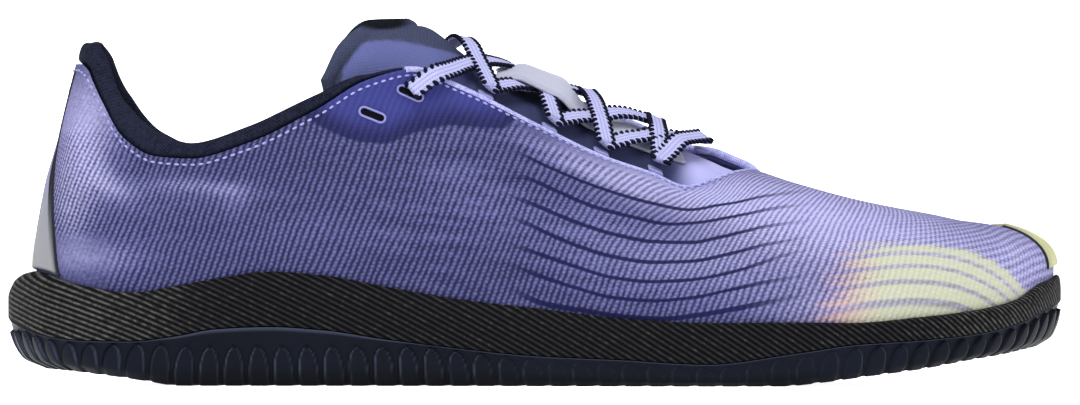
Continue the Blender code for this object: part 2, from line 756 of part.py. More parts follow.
def tongue_net():
    """The tongue's face as rows of seven points, from its top edge down the throat to its toe end."""
    net = []
    for k in range(len(FLAP["forward"])):
        middle = np.array([at_length(FLAP["forward"][k]), FLAP["side"][k] * BALL_WIDTH, 0])
        middle[2] = FLAP["level"][k] * INSTEP_HEIGHT
        row = []
        for step in range(-3, 4):
            word = "lat" if step < 0 else "med"
            turn = abs(step) * math.pi / 6
            fallen = 1 - math.cos(turn)
            back = FLAP[word + "_back"][k] * LENGTH * fallen ** FLAP["reach"][k]
            out = FLAP[word + "_out"][k] * BALL_WIDTH * math.sin(turn)
            drop = FLAP[word + "_drop"][k] * fallen ** FLAP["fall"][k]
            roll = math.copysign(FLAP["roll"][k] * math.sin(turn), step)
            row.append(middle + [-back, math.copysign(out, step), (roll - drop) * INSTEP_HEIGHT])
        net.append(row)
    under = -(UPPER_WALL + TONGUE_CLEAR)
    wing = 1 - TONGUE_WING / (INSTEP_HEIGHT - SIDEWALL_HEIGHT)
    for k, along in enumerate(THROAT["along"]):
        turn = quarter_turn(along)
        crown = np.array([at_length(THROAT["forward"][k]), THROAT["side"][k] * BALL_WIDTH, 0])
        crown[2] = THROAT["level"][k] * INSTEP_HEIGHT
        halves = []
        for place in (turn, 2 - turn):
            away = np.array([under - TONGUE_TUCK, under])
            deep, edge = offset_shell(np.array([place]), [wing, 0.985], away)[0]
            shoulder = edge + (crown - edge) * 0.5
            shoulder[2] += np.linalg.norm(crown - edge) * TONGUE_BULGE
            halves.append([deep, edge, shoulder])
        net.append(halves[0] + [crown] + halves[1][::-1])
    return np.array(net)


def tongue_surface(lengths, widths, below=0.0):
    """The tongue's face. lengths run from its top edge to its toe end, widths from -1 to 1 across."""
    net = tongue_net()
    rows, columns = net.shape[:2]
    lengths, widths = np.asarray(lengths, float), np.asarray(widths, float)
    ribs = np.empty((len(lengths), columns, 3))
    for j in range(columns):
        for k in range(3):
            ribs[:, j, k] = curve(np.linspace(0, 1, rows), net[:, j, k], lengths)
    points = np.empty((len(lengths), len(widths), 3))
    for i, rib in enumerate(ribs):
        for k in range(3):
            points[i, :, k] = curve(np.linspace(-1, 1, columns), rib[:, k], widths)
    if below:
        across = np.gradient(points, axis=1)
        down = np.gradient(points, axis=0)
        points = points - unit(np.cross(down, across)) * below
    return points


def face_height(face, x, y):
    """The height of the tongue's face over a place on the floor."""
    miss = np.hypot(face[..., 0] - x, face[..., 1] - y)
    near = miss < miss.min() + 0.0008
    return face[..., 2][near].max()


def make_tongue(parts):
    """A padded saddle under the laces, its top standing free above the collar."""
    lengths, widths = np.linspace(0, 1, 16), np.linspace(-1, 1, 13)
    outer = tongue_surface(lengths, widths)
    inner = tongue_surface(lengths, widths, TONGUE_THICKNESS)
    return sheet_solid("tongue", inner, outer, parts, "tongue")


def make_insole(parts):
    """A thin footbed lying in the tray."""
    one_way = np.linspace(0, 1, STATIONS + 1)
    rows = []
    for turn in one_way:
        ends = shell(np.array([turn, 2 - turn]), [-1.0])[:, 0]
        out = outward(np.array([turn, 2 - turn]))
        ends[:, :2] -= out * (UPPER_WALL + 4 * FIT_GAP)
        across = np.linspace(0, 1, 3)[:, None]
        row = ends[0] + (ends[1] - ends[0]) * across
        row[:, 2] = rises(share_of_length(row[:, 0]))[1] + FIT_GAP
        rows.append(row)
    lower = np.array(rows)
    upper = lower + np.array([0, 0, INSOLE_THICKNESS])
    lower, upper = lower[1:-1], upper[1:-1]
    return sheet_solid("insole", lower, upper, parts, "insole")


def patch_solid(name, borders, ups, thickness, parts, steps=8):
    """An overlay on the upper: at each height it runs between two places round the shoe."""
    inner, outer = [], []
    for up, (start, end) in zip(ups, borders):
        place = np.linspace(start, end, steps)
        inner.append(offset_shell(place, [up], np.array([OVERLAY_SEAT]))[:, 0])
        outer.append(offset_shell(place, [up], np.array([OVERLAY_SEAT + thickness]))[:, 0])
    return sheet_solid(name, np.array(inner), np.array(outer), parts, name)


def make_heel_panel(parts):
    """The panel up the back of the heel, wide at the sidewall and narrow at the tab."""
    ups = np.linspace(0.02, 0.90, 9)
    half = curve((0.0, 0.25, 0.5, 0.75, 1.0), (0.135, 0.110, 0.080, 0.050, 0.036), np.linspace(0, 1, 9))
    return patch_solid("heel_panel", [(-h, h) for h in half], ups, PANEL_THICKNESS, parts)


def make_toe_bumper(parts):
    """The guard over the big toe, from just past the toe's tip round to the inner side."""
    ups = np.linspace(0.02, 0.52, 7)
    start = curve((0.0, 0.5, 1.0), (0.965, 0.975, 1.000), np.linspace(0, 1, 7))
    end = curve((0.0, 0.5, 1.0), (1.170, 1.160, 1.120), np.linspace(0, 1, 7))
    return patch_solid("toe_bumper", list(zip(start, end)), ups, BUMPER_THICKNESS, parts)


def make_keeper(parts):
    """The flat strip down the middle of the tongue that keeps the laces in place."""
    lengths = np.linspace(0.42, 0.76, 7)
    trial = np.linspace(0, 0.5, 26)
    across = tongue_surface(lengths[3:4], trial)[0]
    reach = np.cumsum(np.linalg.norm(np.diff(across, axis=0), axis=1))
    half = np.interp(KEEPER_WIDTH / 2, reach, trial[1:])
    widths = np.linspace(-half, half, 5)
    inner = tongue_surface(lengths, widths, -FIT_GAP)
    outer = tongue_surface(lengths, widths, -FIT_GAP - KEEPER_THICKNESS)
    return sheet_solid("lace_keeper", inner, outer, parts, "lace_keeper")


def loop_frame(side, along):
    """At a lace loop: the throat's edge there, the way in towards the tongue, and the way up."""
    turn = quarter_turn(along)
    place = np.array([turn if side == LATERAL else 2 - turn])
    edge = shell(place, [1.0])[0, 0]
    before = shell(place, [0.96])[0, 0]
    crown = np.array([edge[0], np.interp(along, THROAT["along"], THROAT["side"]) * BALL_WIDTH, 0])
    crown[2] = np.interp(along, THROAT["along"], THROAT["level"]) * INSTEP_HEIGHT
    inward = unit(0.35 * unit(edge - before) + unit(crown - edge))
    across = unit(np.cross(shell_normals(place, [0.97])[0, 0], inward))
    return edge, inward, np.cross(inward, across)


def make_loops(parts):
    """A short webbing loop at each turn of the lace, lying just off the throat's edge."""
    for side, word in ((LATERAL, "lateral"), (MEDIAL, "medial")):
        for number, along in enumerate(LOOPS[side], 1):
            edge, inward, up = loop_frame(side, along)
            across = np.cross(up, inward)
            sections = []
            for share in (0.0, 0.5, 1.0):
                middle = edge + inward * (LOOP_START + (LOOP_LENGTH - LOOP_START) * share)
                middle -= up * LOOP_SINK * share
                ring = []
                for a, b in ((-1, -1), (1, -1), (1, 1), (-1, 1)):
                    ring.append(middle + across * a * LOOP_WIDTH / 2 + up * b * LOOP_THICKNESS / 2)
                sections.append(ring)
            ring_solid(f"lace_loop_{word}_{number}", np.array(sections), parts, "lace_loop", closed=False)


def lace_turns():
    """Where the lace turns on each side: the slot at the top, then the loops."""
    turns = {}
    for side in (LATERAL, MEDIAL):
        row = list(SLOTS["side"]).index(side)
        x, z = at_length(SLOTS["forward"][row]), SLOTS["level"][row] * INSTEP_HEIGHT
        fine = np.linspace(0.30, 0.50, 200)
        places = fine if side == LATERAL else 2 - fine
        grid = shell(places, np.linspace(0.5, 1, 60))
        miss = np.hypot(grid[..., 0] - x, grid[..., 2] - z)
        i, j = np.unravel_index(np.argmin(miss), miss.shape)
        normal = shell_normals(places[i : i + 1], [0.9])[0, 0]
        ahead = LACE_SLANT if side == LATERAL else 0.0
        edge = shell(places[i : i + 1] + ahead, [1.0])[0, 0]
        turns[side] = [(grid[i, j], normal, edge)]
        for along in LOOPS[side]:
            edge, inward, up = loop_frame(side, along)
            turns[side].append((edge + inward * LOOP_LENGTH * 0.75, up, None))
    return turns


def lace_path(start, end, above, face):
    """A run's middle line: over the eyestay's edge where it starts in a slot, and clear of the tongue."""
    lift = LACE_LIFT + above
    stops = [start[0] + start[1] * lift]
    for _, up, edge in (start, end):
        if edge is not None:
            stops.append(edge + up * (lift + LACE_THICKNESS))
    stops.append(end[0] + end[1] * lift)
    if end[2] is not None:
        stops[1:-1] = stops[-2:0:-1]
    stops = np.array(stops)
    path = spaced(stops[None], np.linspace(0, 1, 9))[0]
    chord = np.linalg.norm(path[-1] - path[0])
    path[:, 2] += np.sin(np.linspace(0, math.pi, len(path))) * chord * LACE_ARCH
    clear = LACE_THICKNESS / 2 + KEEPER_THICKNESS + 5 * FIT_GAP + above
    for point in path[1:-1]:
        point[2] = max(point[2], face_height(face, point[0], point[1]) + clear)
    for _ in range(2):
        path[1:-1, 2] = np.maximum(path[1:-1, 2], (path[:-2, 2] + path[2:, 2]) / 2)
    return path


def make_laces(parts):
    """One flat lace: each run crosses from a turn on one side to the next turn on the other."""
    turns = lace_turns()
    face = tongue_surface(np.linspace(0, 1, 90), np.linspace(-1, 1, 81))
    runs = []
    for k in range(4):
        runs.append((turns[LATERAL][k], turns[MEDIAL][k + 1], 0.0))
        runs.append((turns[MEDIAL][k], turns[LATERAL][k + 1], LACE_THICKNESS / 2))
    runs.append((turns[LATERAL][4], turns[MEDIAL][4], 0.0))
    ribbons = []
    for number, (start, end, above) in enumerate(runs):
        middle = lace_path(start, end, above, face)
        shares = np.linspace(0, 1, len(middle))[:, None]
        up = unit(start[1] * (1 - shares) + end[1] * shares)
        along = unit(np.gradient(middle, axis=0))
        across = unit(np.cross(along, up))
        above_it = np.cross(across, along)
        ring = []
        for a, b in ((-1, -1), (1, -1), (1, 1), (-1, 1)):
            ring.append(middle + across * a * LACE_WIDTH / 2 + above_it * b * LACE_THICKNESS / 2)
        ribbons.append(ring_solid(f"lace_run_{number}", np.stack(ring, axis=1), parts, "laces", closed=False))
    laces = ribbons[0]
    laces.name = "laces"
    for ribbon in ribbons[1:]:
        join = laces.modifiers.new(ribbon.name, "BOOLEAN")
        join.operation = "UNION"
        join.object = ribbon
    finished = bpy.data.meshes.new_from_object(laces.evaluated_get(bpy.context.evaluated_depsgraph_get()))
    laces.modifiers.clear()
    laces.data = finished
    for ribbon in ribbons[1:]:
        bpy.data.objects.remove(ribbon)
    return laces


def main():
    for old in list(bpy.data.objects):
        bpy.data.objects.remove(old)
    parts, cutters = new_collection("barefoot_shoe"), new_collection("cutters")
    make_outsole(parts)
    make_sidewall(parts)
    make_upper(parts, cutters)
    make_collar(parts)
    make_tongue(parts)
    make_insole(parts)
    make_heel_panel(parts)
    make_toe_bumper(parts)
    make_keeper(parts)
    make_loops(parts)
    make_laces(parts)


main()
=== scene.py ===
"""Dresses the barefoot shoe's solids: knit, padding, laces, rubber, the stage and the camera.

Metres, in the solids' own frame: +X to the toe, +Y to the big toe's side, +Z up. The tables and
lofts of the part are repeated here, so that each dressed piece lies where its solid does.
"""

import math

import bmesh
import bpy
import numpy as np
from bpy.props import FloatProperty, FloatVectorProperty, PointerProperty
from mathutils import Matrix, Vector


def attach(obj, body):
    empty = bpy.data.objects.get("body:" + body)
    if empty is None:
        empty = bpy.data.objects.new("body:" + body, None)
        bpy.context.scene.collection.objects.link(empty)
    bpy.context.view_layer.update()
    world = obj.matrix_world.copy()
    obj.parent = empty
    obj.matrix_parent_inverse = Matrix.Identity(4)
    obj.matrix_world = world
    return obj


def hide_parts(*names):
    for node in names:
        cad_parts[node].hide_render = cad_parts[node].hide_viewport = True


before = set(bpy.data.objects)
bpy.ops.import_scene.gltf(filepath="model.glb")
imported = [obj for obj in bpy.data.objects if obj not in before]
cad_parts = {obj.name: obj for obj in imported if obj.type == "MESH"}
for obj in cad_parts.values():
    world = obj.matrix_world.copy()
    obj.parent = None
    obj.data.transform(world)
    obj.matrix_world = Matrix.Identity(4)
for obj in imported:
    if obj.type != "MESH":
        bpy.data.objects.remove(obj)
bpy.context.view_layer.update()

bl_info = {
    "name": "Barefoot Shoe",
    "version": (1, 0, 0),
    "blender": (4, 5, 0),
    "location": "View3D > Sidebar > Shoe",
    "description": "Builds a knitted barefoot shoe over its solids, with its laces, rubber, stage and camera",
    "category": "Add Mesh",
}

# Driving sizes of the shoe
LENGTH = 0.2645
BALL_WIDTH = 0.1000
HEEL_WIDTH = 0.0700
HEEL_HEIGHT = 0.0803
INSTEP_HEIGHT = 0.0788
TOE_HEIGHT = 0.0395
FIT_GAP = 0.0003

# Sole and sidewall
SOLE_THICKNESS = 0.0045
LUG_DEPTH = 0.0015
LUG_PITCH = 0.0062
LUG_SHARE = 0.66
LUG_RELIEF = 0.0007
FINGER_TOP = 0.0092
TOE_SPRING = 0.0090
HEEL_BEVEL = 0.0035
CHEVRON = 0.0045
SIDEWALL_HEIGHT = 0.0284
SIDEWALL_LIP = 0.0007
WIDEST_RISE = 0.0020

# Upper and what is sewn to it
UPPER_WALL = 0.0018
HEEL_INSET = 0.0083
SIDE_INSET = 0.0027
TOE_INSET = 0.0018
UPPER_TUCK = 0.0040
COLLAR_PAD = 0.0048
COLLAR_PROUD = 0.0048
COLLAR_DEPTH = 0.0230
TAB_RISE = 0.0059
OVERLAY_SEAT = 0.0004
PANEL_THICKNESS = 0.0007
BUMPER_THICKNESS = 0.0007
INSOLE_THICKNESS = 0.0030
SLOT_LENGTH = 0.0066
SLOT_WIDTH = 0.0021

# Tongue and lacing
TONGUE_THICKNESS = 0.0034
TONGUE_CLEAR = 0.0014
TONGUE_WING = 0.0170
TONGUE_TUCK = 0.0018
TONGUE_BULGE = 0.10
LACE_WIDTH = 0.0050
LACE_THICKNESS = 0.0013
LACE_LIFT = 0.0017
LACE_ARCH = 0.022
LACE_SLANT = 0.018
LOOP_WIDTH = 0.0040
LOOP_THICKNESS = 0.0009
LOOP_LENGTH = 0.0052
LOOP_START = 0.0013
LOOP_SINK = 0.0007
KEEPER_WIDTH = 0.0130
KEEPER_THICKNESS = 0.0008

LATERAL, MEDIAL = -1, 1


def table(columns, *rows):
    """A short table: its named columns as arrays."""
    return dict(zip(columns.split(), np.array(rows, dtype=float).T))


# The sole's edge seen from above. middle is a share of the ball width, to the big toe's side;
# half is half the width there, as a share of heel width (of 0) to ball width (of 1).
OUTLINE = table(
    "along middle half of",
    (0.000, 0.000, 0.000, 0.0),
    (0.013, 0.000, 0.200, 0.0),
    (0.043, 0.000, 0.371, 0.0),
    (0.100, -0.005, 0.464, 0.0),
    (0.180, -0.005, 0.493, 0.0),
    (0.270, -0.012, 0.489, 0.0),
    (0.367, -0.030, 0.422, 0.35),
    (0.462, -0.047, 0.405, 0.65),
    (0.557, -0.050, 0.423, 0.9),
    (0.633, -0.035, 0.460, 1.0),
    (0.709, -0.012, 0.487, 1.0),
    (0.766, 0.005, 0.490, 1.0),
    (0.823, 0.030, 0.470, 1.0),
    (0.880, 0.062, 0.422, 1.0),
    (0.926, 0.090, 0.350, 1.0),
    (0.964, 0.115, 0.245, 1.0),
    (0.987, 0.134, 0.140, 1.0),
    (1.000, 0.140, 0.000, 1.0),
)

# The sidewall's top and its joint with the outsole, as shares of the sidewall's height at the heel.
BAND = table(
    "along top joint",
    (0.000, 1.000, 0.609),
    (0.015, 0.995, 0.504),
    (0.030, 0.975, 0.451),
    (0.050, 0.920, 0.412),
    (0.080, 0.860, 0.390),
    (0.120, 0.817, 0.387),
    (0.160, 0.873, 0.430),
    (0.200, 0.940, 0.495),
    (0.250, 1.000, 0.515),
    (0.300, 0.968, 0.486),
    (0.360, 0.866, 0.405),
    (0.420, 0.768, 0.335),
    (0.500, 0.680, 0.261),
    (0.580, 0.595, 0.229),
    (0.660, 0.556, 0.190),
    (0.740, 0.560, 0.280),
    (0.800, 0.556, 0.360),
    (0.860, 0.599, 0.395),
    (0.920, 0.662, 0.455),
    (0.960, 0.746, 0.549),
    (0.985, 0.890, 0.658),
    (1.000, 0.965, 0.760),
)

# The underside's rise off the floor, by place along the length: shares of the bevel and the spring.
UNDERSIDE = table(
    "forward heel toe",
    (0.000, 1.25, 0.00),
    (0.050, 1.10, 0.00),
    (0.100, 0.70, 0.00),
    (0.138, 0.28, 0.00),
    (0.165, 0.00, 0.00),
    (0.728, 0.00, 0.00),
    (0.770, 0.00, 0.11),
    (0.808, 0.00, 0.26),
    (0.865, 0.00, 0.48),
    (0.903, 0.00, 0.68),
    (0.942, 0.00, 0.86),
    (0.960, 0.00, 0.97),
    (1.000, 0.00, 1.18),
)

# How far the sole's rounded edge reaches under, as a share of the heel width.
EDGE = table(
    "along under",
    (0.000, 0.150),
    (0.030, 0.135),
    (0.060, 0.110),
    (0.100, 0.080),
    (0.150, 0.062),
    (0.220, 0.050),
    (0.800, 0.050),
    (0.900, 0.070),
    (0.950, 0.090),
    (1.000, 0.100),
)

# The wall's run from the sole to its top edge: end is the slope that it has turned through, in
# degrees, and full is the exponent of the curve, under 1 boxy and over 1 straight.
WALL = table(
    "along end full",
    (0.000, 35.0, 1.62),
    (0.100, 35.0, 1.50),
    (0.250, 38.0, 1.30),
    (0.385, 48.0, 1.18),
    (0.500, 58.0, 1.10),
    (0.600, 66.0, 1.05),
    (0.660, 76.0, 1.02),
    (0.710, 88.0, 1.00),
    (0.800, 90.0, 0.98),
    (0.900, 88.0, 0.92),
    (1.000, 86.0, 0.86),
)

# The top edge of the wall at each side, round the collar and down the throat, then the ridge over
# the toes that both sides share. forward is a share of the length, side of the ball width, and
# level a share of a height: of 0 is the heel height, 1 the instep height and 2 the toe height.
RIM_LATERAL = table(
    "along forward side level of",
    (0.000, 0.0640, 0.000, 1.000, 0.0),
    (0.012, 0.0690, 0.050, 1.000, 0.0),
    (0.035, 0.0753, 0.093, 0.983, 0.0),
    (0.065, 0.0905, 0.139, 0.882, 0.0),
    (0.100, 0.1110, 0.182, 0.770, 0.0),
    (0.140, 0.1423, 0.224, 0.711, 0.0),
    (0.180, 0.1766, 0.252, 0.704, 0.0),
    (0.230, 0.2283, 0.278, 0.758, 0.5),
    (0.300, 0.2945, 0.286, 0.870, 0.8),
    (0.345, 0.3417, 0.270, 0.966, 1.0),
    (0.385, 0.3840, 0.238, 1.000, 1.0),
    (0.430, 0.4285, 0.212, 0.945, 1.0),
    (0.500, 0.5000, 0.173, 0.826, 1.0),
    (0.560, 0.5647, 0.130, 0.723, 1.0),
    (0.600, 0.6104, 0.095, 0.671, 1.0),
    (0.630, 0.6427, 0.060, 0.630, 1.0),
    (0.655, 0.6674, 0.020, 0.651, 1.0),
    (0.680, 0.6903, -0.030, 0.677, 1.0),
    (0.700, 0.7062, -0.085, 0.684, 1.0),
    (0.710, 0.7116, -0.110, 0.680, 1.0),
)
RIM_MEDIAL = table(
    "along forward side level of",
    (0.000, 0.0640, 0.000, 1.000, 0.0),
    (0.012, 0.0690, 0.050, 1.000, 0.0),
    (0.035, 0.0753, 0.093, 0.983, 0.0),
    (0.065, 0.0905, 0.137, 0.905, 0.0),
    (0.100, 0.1110, 0.178, 0.800, 0.0),
    (0.140, 0.1423, 0.217, 0.714, 0.0),
    (0.180, 0.1766, 0.242, 0.700, 0.0),
    (0.230, 0.2283, 0.262, 0.750, 0.5),
    (0.300, 0.2945, 0.270, 0.866, 0.8),
    (0.345, 0.3417, 0.268, 0.966, 1.0),
    (0.385, 0.3780, 0.262, 1.005, 1.0),
    (0.430, 0.4277, 0.255, 0.990, 1.0),
    (0.500, 0.5040, 0.243, 0.933, 1.0),
    (0.560, 0.5647, 0.237, 0.872, 1.0),
    (0.600, 0.6065, 0.230, 0.815, 1.0),
    (0.630, 0.6408, 0.220, 0.761, 1.0),
    (0.655, 0.6674, 0.205, 0.750, 1.0),
    (0.680, 0.6903, 0.180, 0.722, 1.0),
    (0.700, 0.7062, 0.145, 0.697, 1.0),
    (0.710, 0.7116, 0.110, 0.680, 1.0),
)
RIDGE = table(
    "along forward side level of",
    (0.750, 0.7378, 0.115, 0.867, 1.5),
    (0.800, 0.7664, 0.120, 1.240, 2.0),
    (0.850, 0.7987, 0.125, 1.180, 2.0),
    (0.900, 0.8311, 0.130, 1.132, 2.0),
    (0.950, 0.8615, 0.135, 1.089, 2.0),
    (0.980, 0.8767, 0.138, 1.056, 2.0),
    (1.000, 0.8843, 0.140, 1.042, 2.0),
)

# How far the lining stands above the upper's edge, from the heel tab to the throat's corner, as
# shares of the tab's rise and of the proud height, and the share of its full padding.
LINING = table(
    "along tab proud pad",
    (0.000, 1.00, 0.00, 0.90),
    (0.012, 1.00, 0.05, 0.90),
    (0.035, 0.80, 0.70, 0.95),
    (0.065, 0.28, 1.88, 1.00),
    (0.100, 0.00, 2.05, 1.00),
    (0.120, 0.00, 1.85, 1.00),
    (0.145, 0.00, 1.45, 1.00),
    (0.180, 0.00, 1.00, 0.95),
    (0.250, 0.00, 1.00, 0.85),
    (0.310, 0.00, 0.80, 0.68),
    (0.350, 0.00, 0.35, 0.52),
    (0.378, 0.00, 0.16, 0.45),
)

# The tongue's free top, from its upper edge down: its middle line, then how far each side reaches
# out, back and down from it. forward and back are shares of the length, side and out of the ball
# width, level, drop and roll of the instep height. reach and fall are the exponents of the way back
# and of the drop along a side, and roll lifts the inner side's edge over the outer side's.
FLAP = table(
    "forward side level lat_out lat_back lat_drop med_out med_back med_drop reach fall roll",
    (0.375, 0.022, 1.173, 0.218, 0.0745, 0.185, 0.172, 0.072, 0.210, 0.35, 1.40, 0.018),
    (0.390, 0.028, 1.146, 0.222, 0.080, 0.300, 0.175, 0.076, 0.300, 0.50, 1.50, 0.012),
    (0.408, 0.036, 1.106, 0.228, 0.074, 0.410, 0.180, 0.068, 0.370, 0.80, 1.60, 0.000),
)

# The tongue's middle line down the throat: along says which places of the two edges it runs under.
THROAT = table(
    "along forward side level",
    (0.420, 0.4300, 0.052, 1.046),
    (0.450, 0.4550, 0.062, 0.992),
    (0.500, 0.5010, 0.074, 0.918),
    (0.555, 0.5560, 0.082, 0.844),
    (0.610, 0.6110, 0.090, 0.772),
    (0.650, 0.6520, 0.098, 0.712),
    (0.690, 0.6960, 0.108, 0.640),
    (0.730, 0.7250, 0.112, 0.602),
)

# Where the laces turn: by side, the place along the shoe of each loop from the instep down.
LOOPS = {LATERAL: (0.455, 0.513, 0.558, 0.603), MEDIAL: (0.485, 0.541, 0.603, 0.646)}
# The slots through each side of the upper, from the top one down: it takes the lace's end.
SLOTS = table(
    "side forward level lean",
    (LATERAL, 0.3820, 0.925, 24.0),
    (LATERAL, 0.3460, 0.857, 22.0),
    (MEDIAL, 0.4080, 0.925, 18.0),
    (MEDIAL, 0.3700, 0.860, 18.0),
)

# Width of the tongue's bound edge.
TONGUE_BAND = 0.0044
# Upper border of the tongue's paler panel, in the side view's steps.
TONGUE_PANEL = (
    (330, 140), (339, 100), (341, 80), (345, 64), (354, 50),
    (366, 42), (389, 40), (412, 43), (450, 52), (480, 62),
)
# Where the dark border over that panel ends, and the shade painted in the hollow at the tongue's top:
# its middle and half its length and height.
PANEL_FADE = (455, 485)
TONGUE_HOLLOW = (382, 21, 27, 9)
# How far the laces' far ends turn their faces to the shoe's outer side.
LACE_TURN = 0.42
# How far the silvery strip arches over the laces, and more at its inner edge.
KEEPER_ARCH = 0.0043
KEEPER_TILT = 0.0004
# The steps across between which it rises and falls again.
KEEPER_ARCHED = (484, 520, 552, 588)
# How far the laces' far ends are lifted, and how the last run lies.
FAR_LIFT = 0.0006
LAST_RUN_MOVE = (0, -0.0004, 0.0008)
LAST_RUN_UP = (0.1, -0.75, 0.6)
# The shoe's side view is 0.25 mm to a step: a place on a line drawn there is (step across, step down).
STEP = 0.00025
MIDDLE_STEP, FLOOR_STEP = 535.5, 385.0

# Dark waves knitted over the outer forefoot, from the throat down.
WAVES = (
    ((517, 151), (556, 169), (623, 195), (651, 203), (690, 210), (718, 205), (760, 197)),
    ((527, 178), (556, 191), (594, 207), (632, 217), (670, 224), (699, 222), (728, 217), (760, 211)),
    ((498, 192), (536, 206), (575, 222), (613, 234), (651, 241), (690, 242), (718, 237), (760, 227)),
    ((494, 209), (536, 228), (575, 245), (613, 256), (651, 261), (690, 260), (728, 253), (760, 245)),
    ((498, 241), (536, 253), (575, 266), (613, 277), (651, 281), (690, 279), (728, 272), (783, 254)),
    ((498, 259), (536, 274), (575, 287), (613, 297), (651, 300), (690, 297), (728, 289), (760, 282)),
    ((508, 287), (546, 303), (584, 309), (623, 315), (661, 317), (699, 313), (728, 308), (783, 297)),
)
# Lilac lines that leave the pale print at the toe bare.
TOE_LINES = (
    ((800, 262), (865, 257), (901, 254), (936, 256), (971, 264), (995, 276), (1019, 297), (1040, 330)),
    ((800, 278), (830, 272), (865, 269), (912, 266), (948, 270), (983, 283), (1007, 299), (1025, 322)),
    ((790, 297), (853, 286), (901, 281), (936, 283), (971, 292), (995, 306), (1010, 325)),
    ((790, 316), (830, 309), (865, 303), (912, 300), (948, 303), (971, 311), (995, 330)),
)
# The print's upper border, and the lower border of the film round the top eyelets.
PRINT_TOP = (
    (800, 247), (842, 243), (877, 243), (924, 245), (960, 250),
    (983, 257), (1007, 271), (1023, 287), (1045, 310),
)
FILM_EDGE = (
    (290, 108), (313, 122), (336, 134), (361, 142), (386, 144), (402, 138),
    (427, 130), (452, 126), (480, 128), (504, 129), (512, 122), (524, 112),
)
# How steeply the waves run on past their last points, and the gap beyond the outermost line.
ONWARD = 0.7
LINE_GAP = 18
# Steps between which things on the knit come in, or come in and go out again.
WAVES_ACROSS = (497, 540, 735, 825)
STREAKS_ACROSS = (330, 430, 560, 680)
PRINT_FADE = (768, 890)
PRINT_FOOT = 315
WARM_ACROSS = (815, 890)
FILM_ENDS = (297, 523)
HEEL_LINES_ACROSS = (92, 114)
HEEL_LINES_DOWN = (128, 140, 228, 242)
TAB_SMOOTH = (118, 140)
FOOT_ACROSS = (96, 125)
FOOT_DOWN = (225, 245)
THROAT_ACROSS = (505, 540, 745, 770)
TOE_ROWS_ACROSS = (840, 980)
HEM_ACROSS = (430, 470)
# The knit's edge turned in: how deep, and how far up the wall.
TURNED_IN = ((0.0005, 1.0), (0.0011, 0.995), (0.0017, 0.98))

# The throat's rolled edge, the slots' rims and the seams beside the overlays.
THROAT_SPAN = (0.379, 0.7099)
ROLL_SINK = 0.0007
ROLL_RADIUS = 0.00105
SLOT_RIM_RADIUS = 0.00028
SEAM_RADIUS = 0.00038
TOE_SEAM_RADIUS = 0.00045
# How far under the edge the two rows of stitches lie, and a stitch's pitch, length and width.
STITCH_DROP = 0.0017
STITCH_DROP_TWO = 0.0036
STITCH_SIZES = (0.0021, 0.0014, 0.00060)
# The length and width of a bead of the lace's twisted edge.
LACE_BEAD = (0.0020, 0.00115)

# The heel panel from its foot up: half its width as a share of one side, and its ends up the wall.
PANEL_HALF = (0.135, 0.110, 0.080, 0.050, 0.036)
PANEL_UPS = (-0.06, 0.90)
# The toe bumper: its two ends round the toe from its foot up, and its ends up the wall.
BUMPER_ENDS = ((0.950, 0.962, 0.992), (1.170, 1.160, 1.120))
BUMPER_UPS = (0.02, 0.52)
# The lean of the sidewall's ribs in degrees, at shares of the way from the heel to the toe.
RIB_LEAN = ((0.0, 0.06, 0.18, 0.5, 0.85, 1.0), (8, 14, 24, 30, 40, 56))
# The leaf shape of a lug's tip: its lean, half its width and the exponent of its taper.
LUG_LEAN = 0.16
LUG_HALF = 0.40
LUG_POINT = 2.4

# Points closer than this are one.
WELD = 1e-6

# The stage. Each lamp: its name, its place, what it is turned to and its width.
FLOOR_HALF = 16.0
BACKDROP_RADIUS = 15.0
BACKDROP_LEVELS = (-0.02, 3.0)
SENSOR = 36.0
CAMERA_ALONG = 0.0011
CAMERA_HEIGHT = 0.0456
LAMPS = (
    ("overhead", (-0.1, -0.25, 1.4), (0, 0, 0.03), 1.1),
    ("front", (-0.7, -1.7, 0.9), (0, 0, 0.04), 0.9),
    ("toe_side", (1.4, -0.5, 0.8), (0, 0, 0.04), 0.7),
)

# Soft troughs and ridges of the upper: across, down, half length, half height (steps), turn, height (mm).
FORMS = (
    (205, 192, 48, 8, 4, 1.5), (140, 172, 30, 14, 28, -1.2), (85, 150, 22, 50, 0, 0.7),
    (215, 230, 50, 9, -8, -1.0), (258, 212, 12, 30, 22, -1.2), (320, 168, 60, 10, -28, -0.8),
    (470, 215, 70, 40, 10, 0.5), (560, 165, 60, 10, 24, -0.7), (720, 190, 40, 10, 14, -0.9),
    (770, 205, 34, 8, 12, 0.6), (820, 222, 36, 8, 10, -0.6), (640, 262, 90, 16, -4, -0.4),
    (900, 262, 70, 22, 6, 0.4), (170, 245, 60, 8, -4, 0.6), (330, 250, 70, 12, 8, -0.5),
)


def quarter_turn(along):
    """Spreads the places along the shoe so that both round ends get enough of them."""
    return np.arccos(np.clip(1 - 2 * np.asarray(along, float), -1, 1)) / math.pi


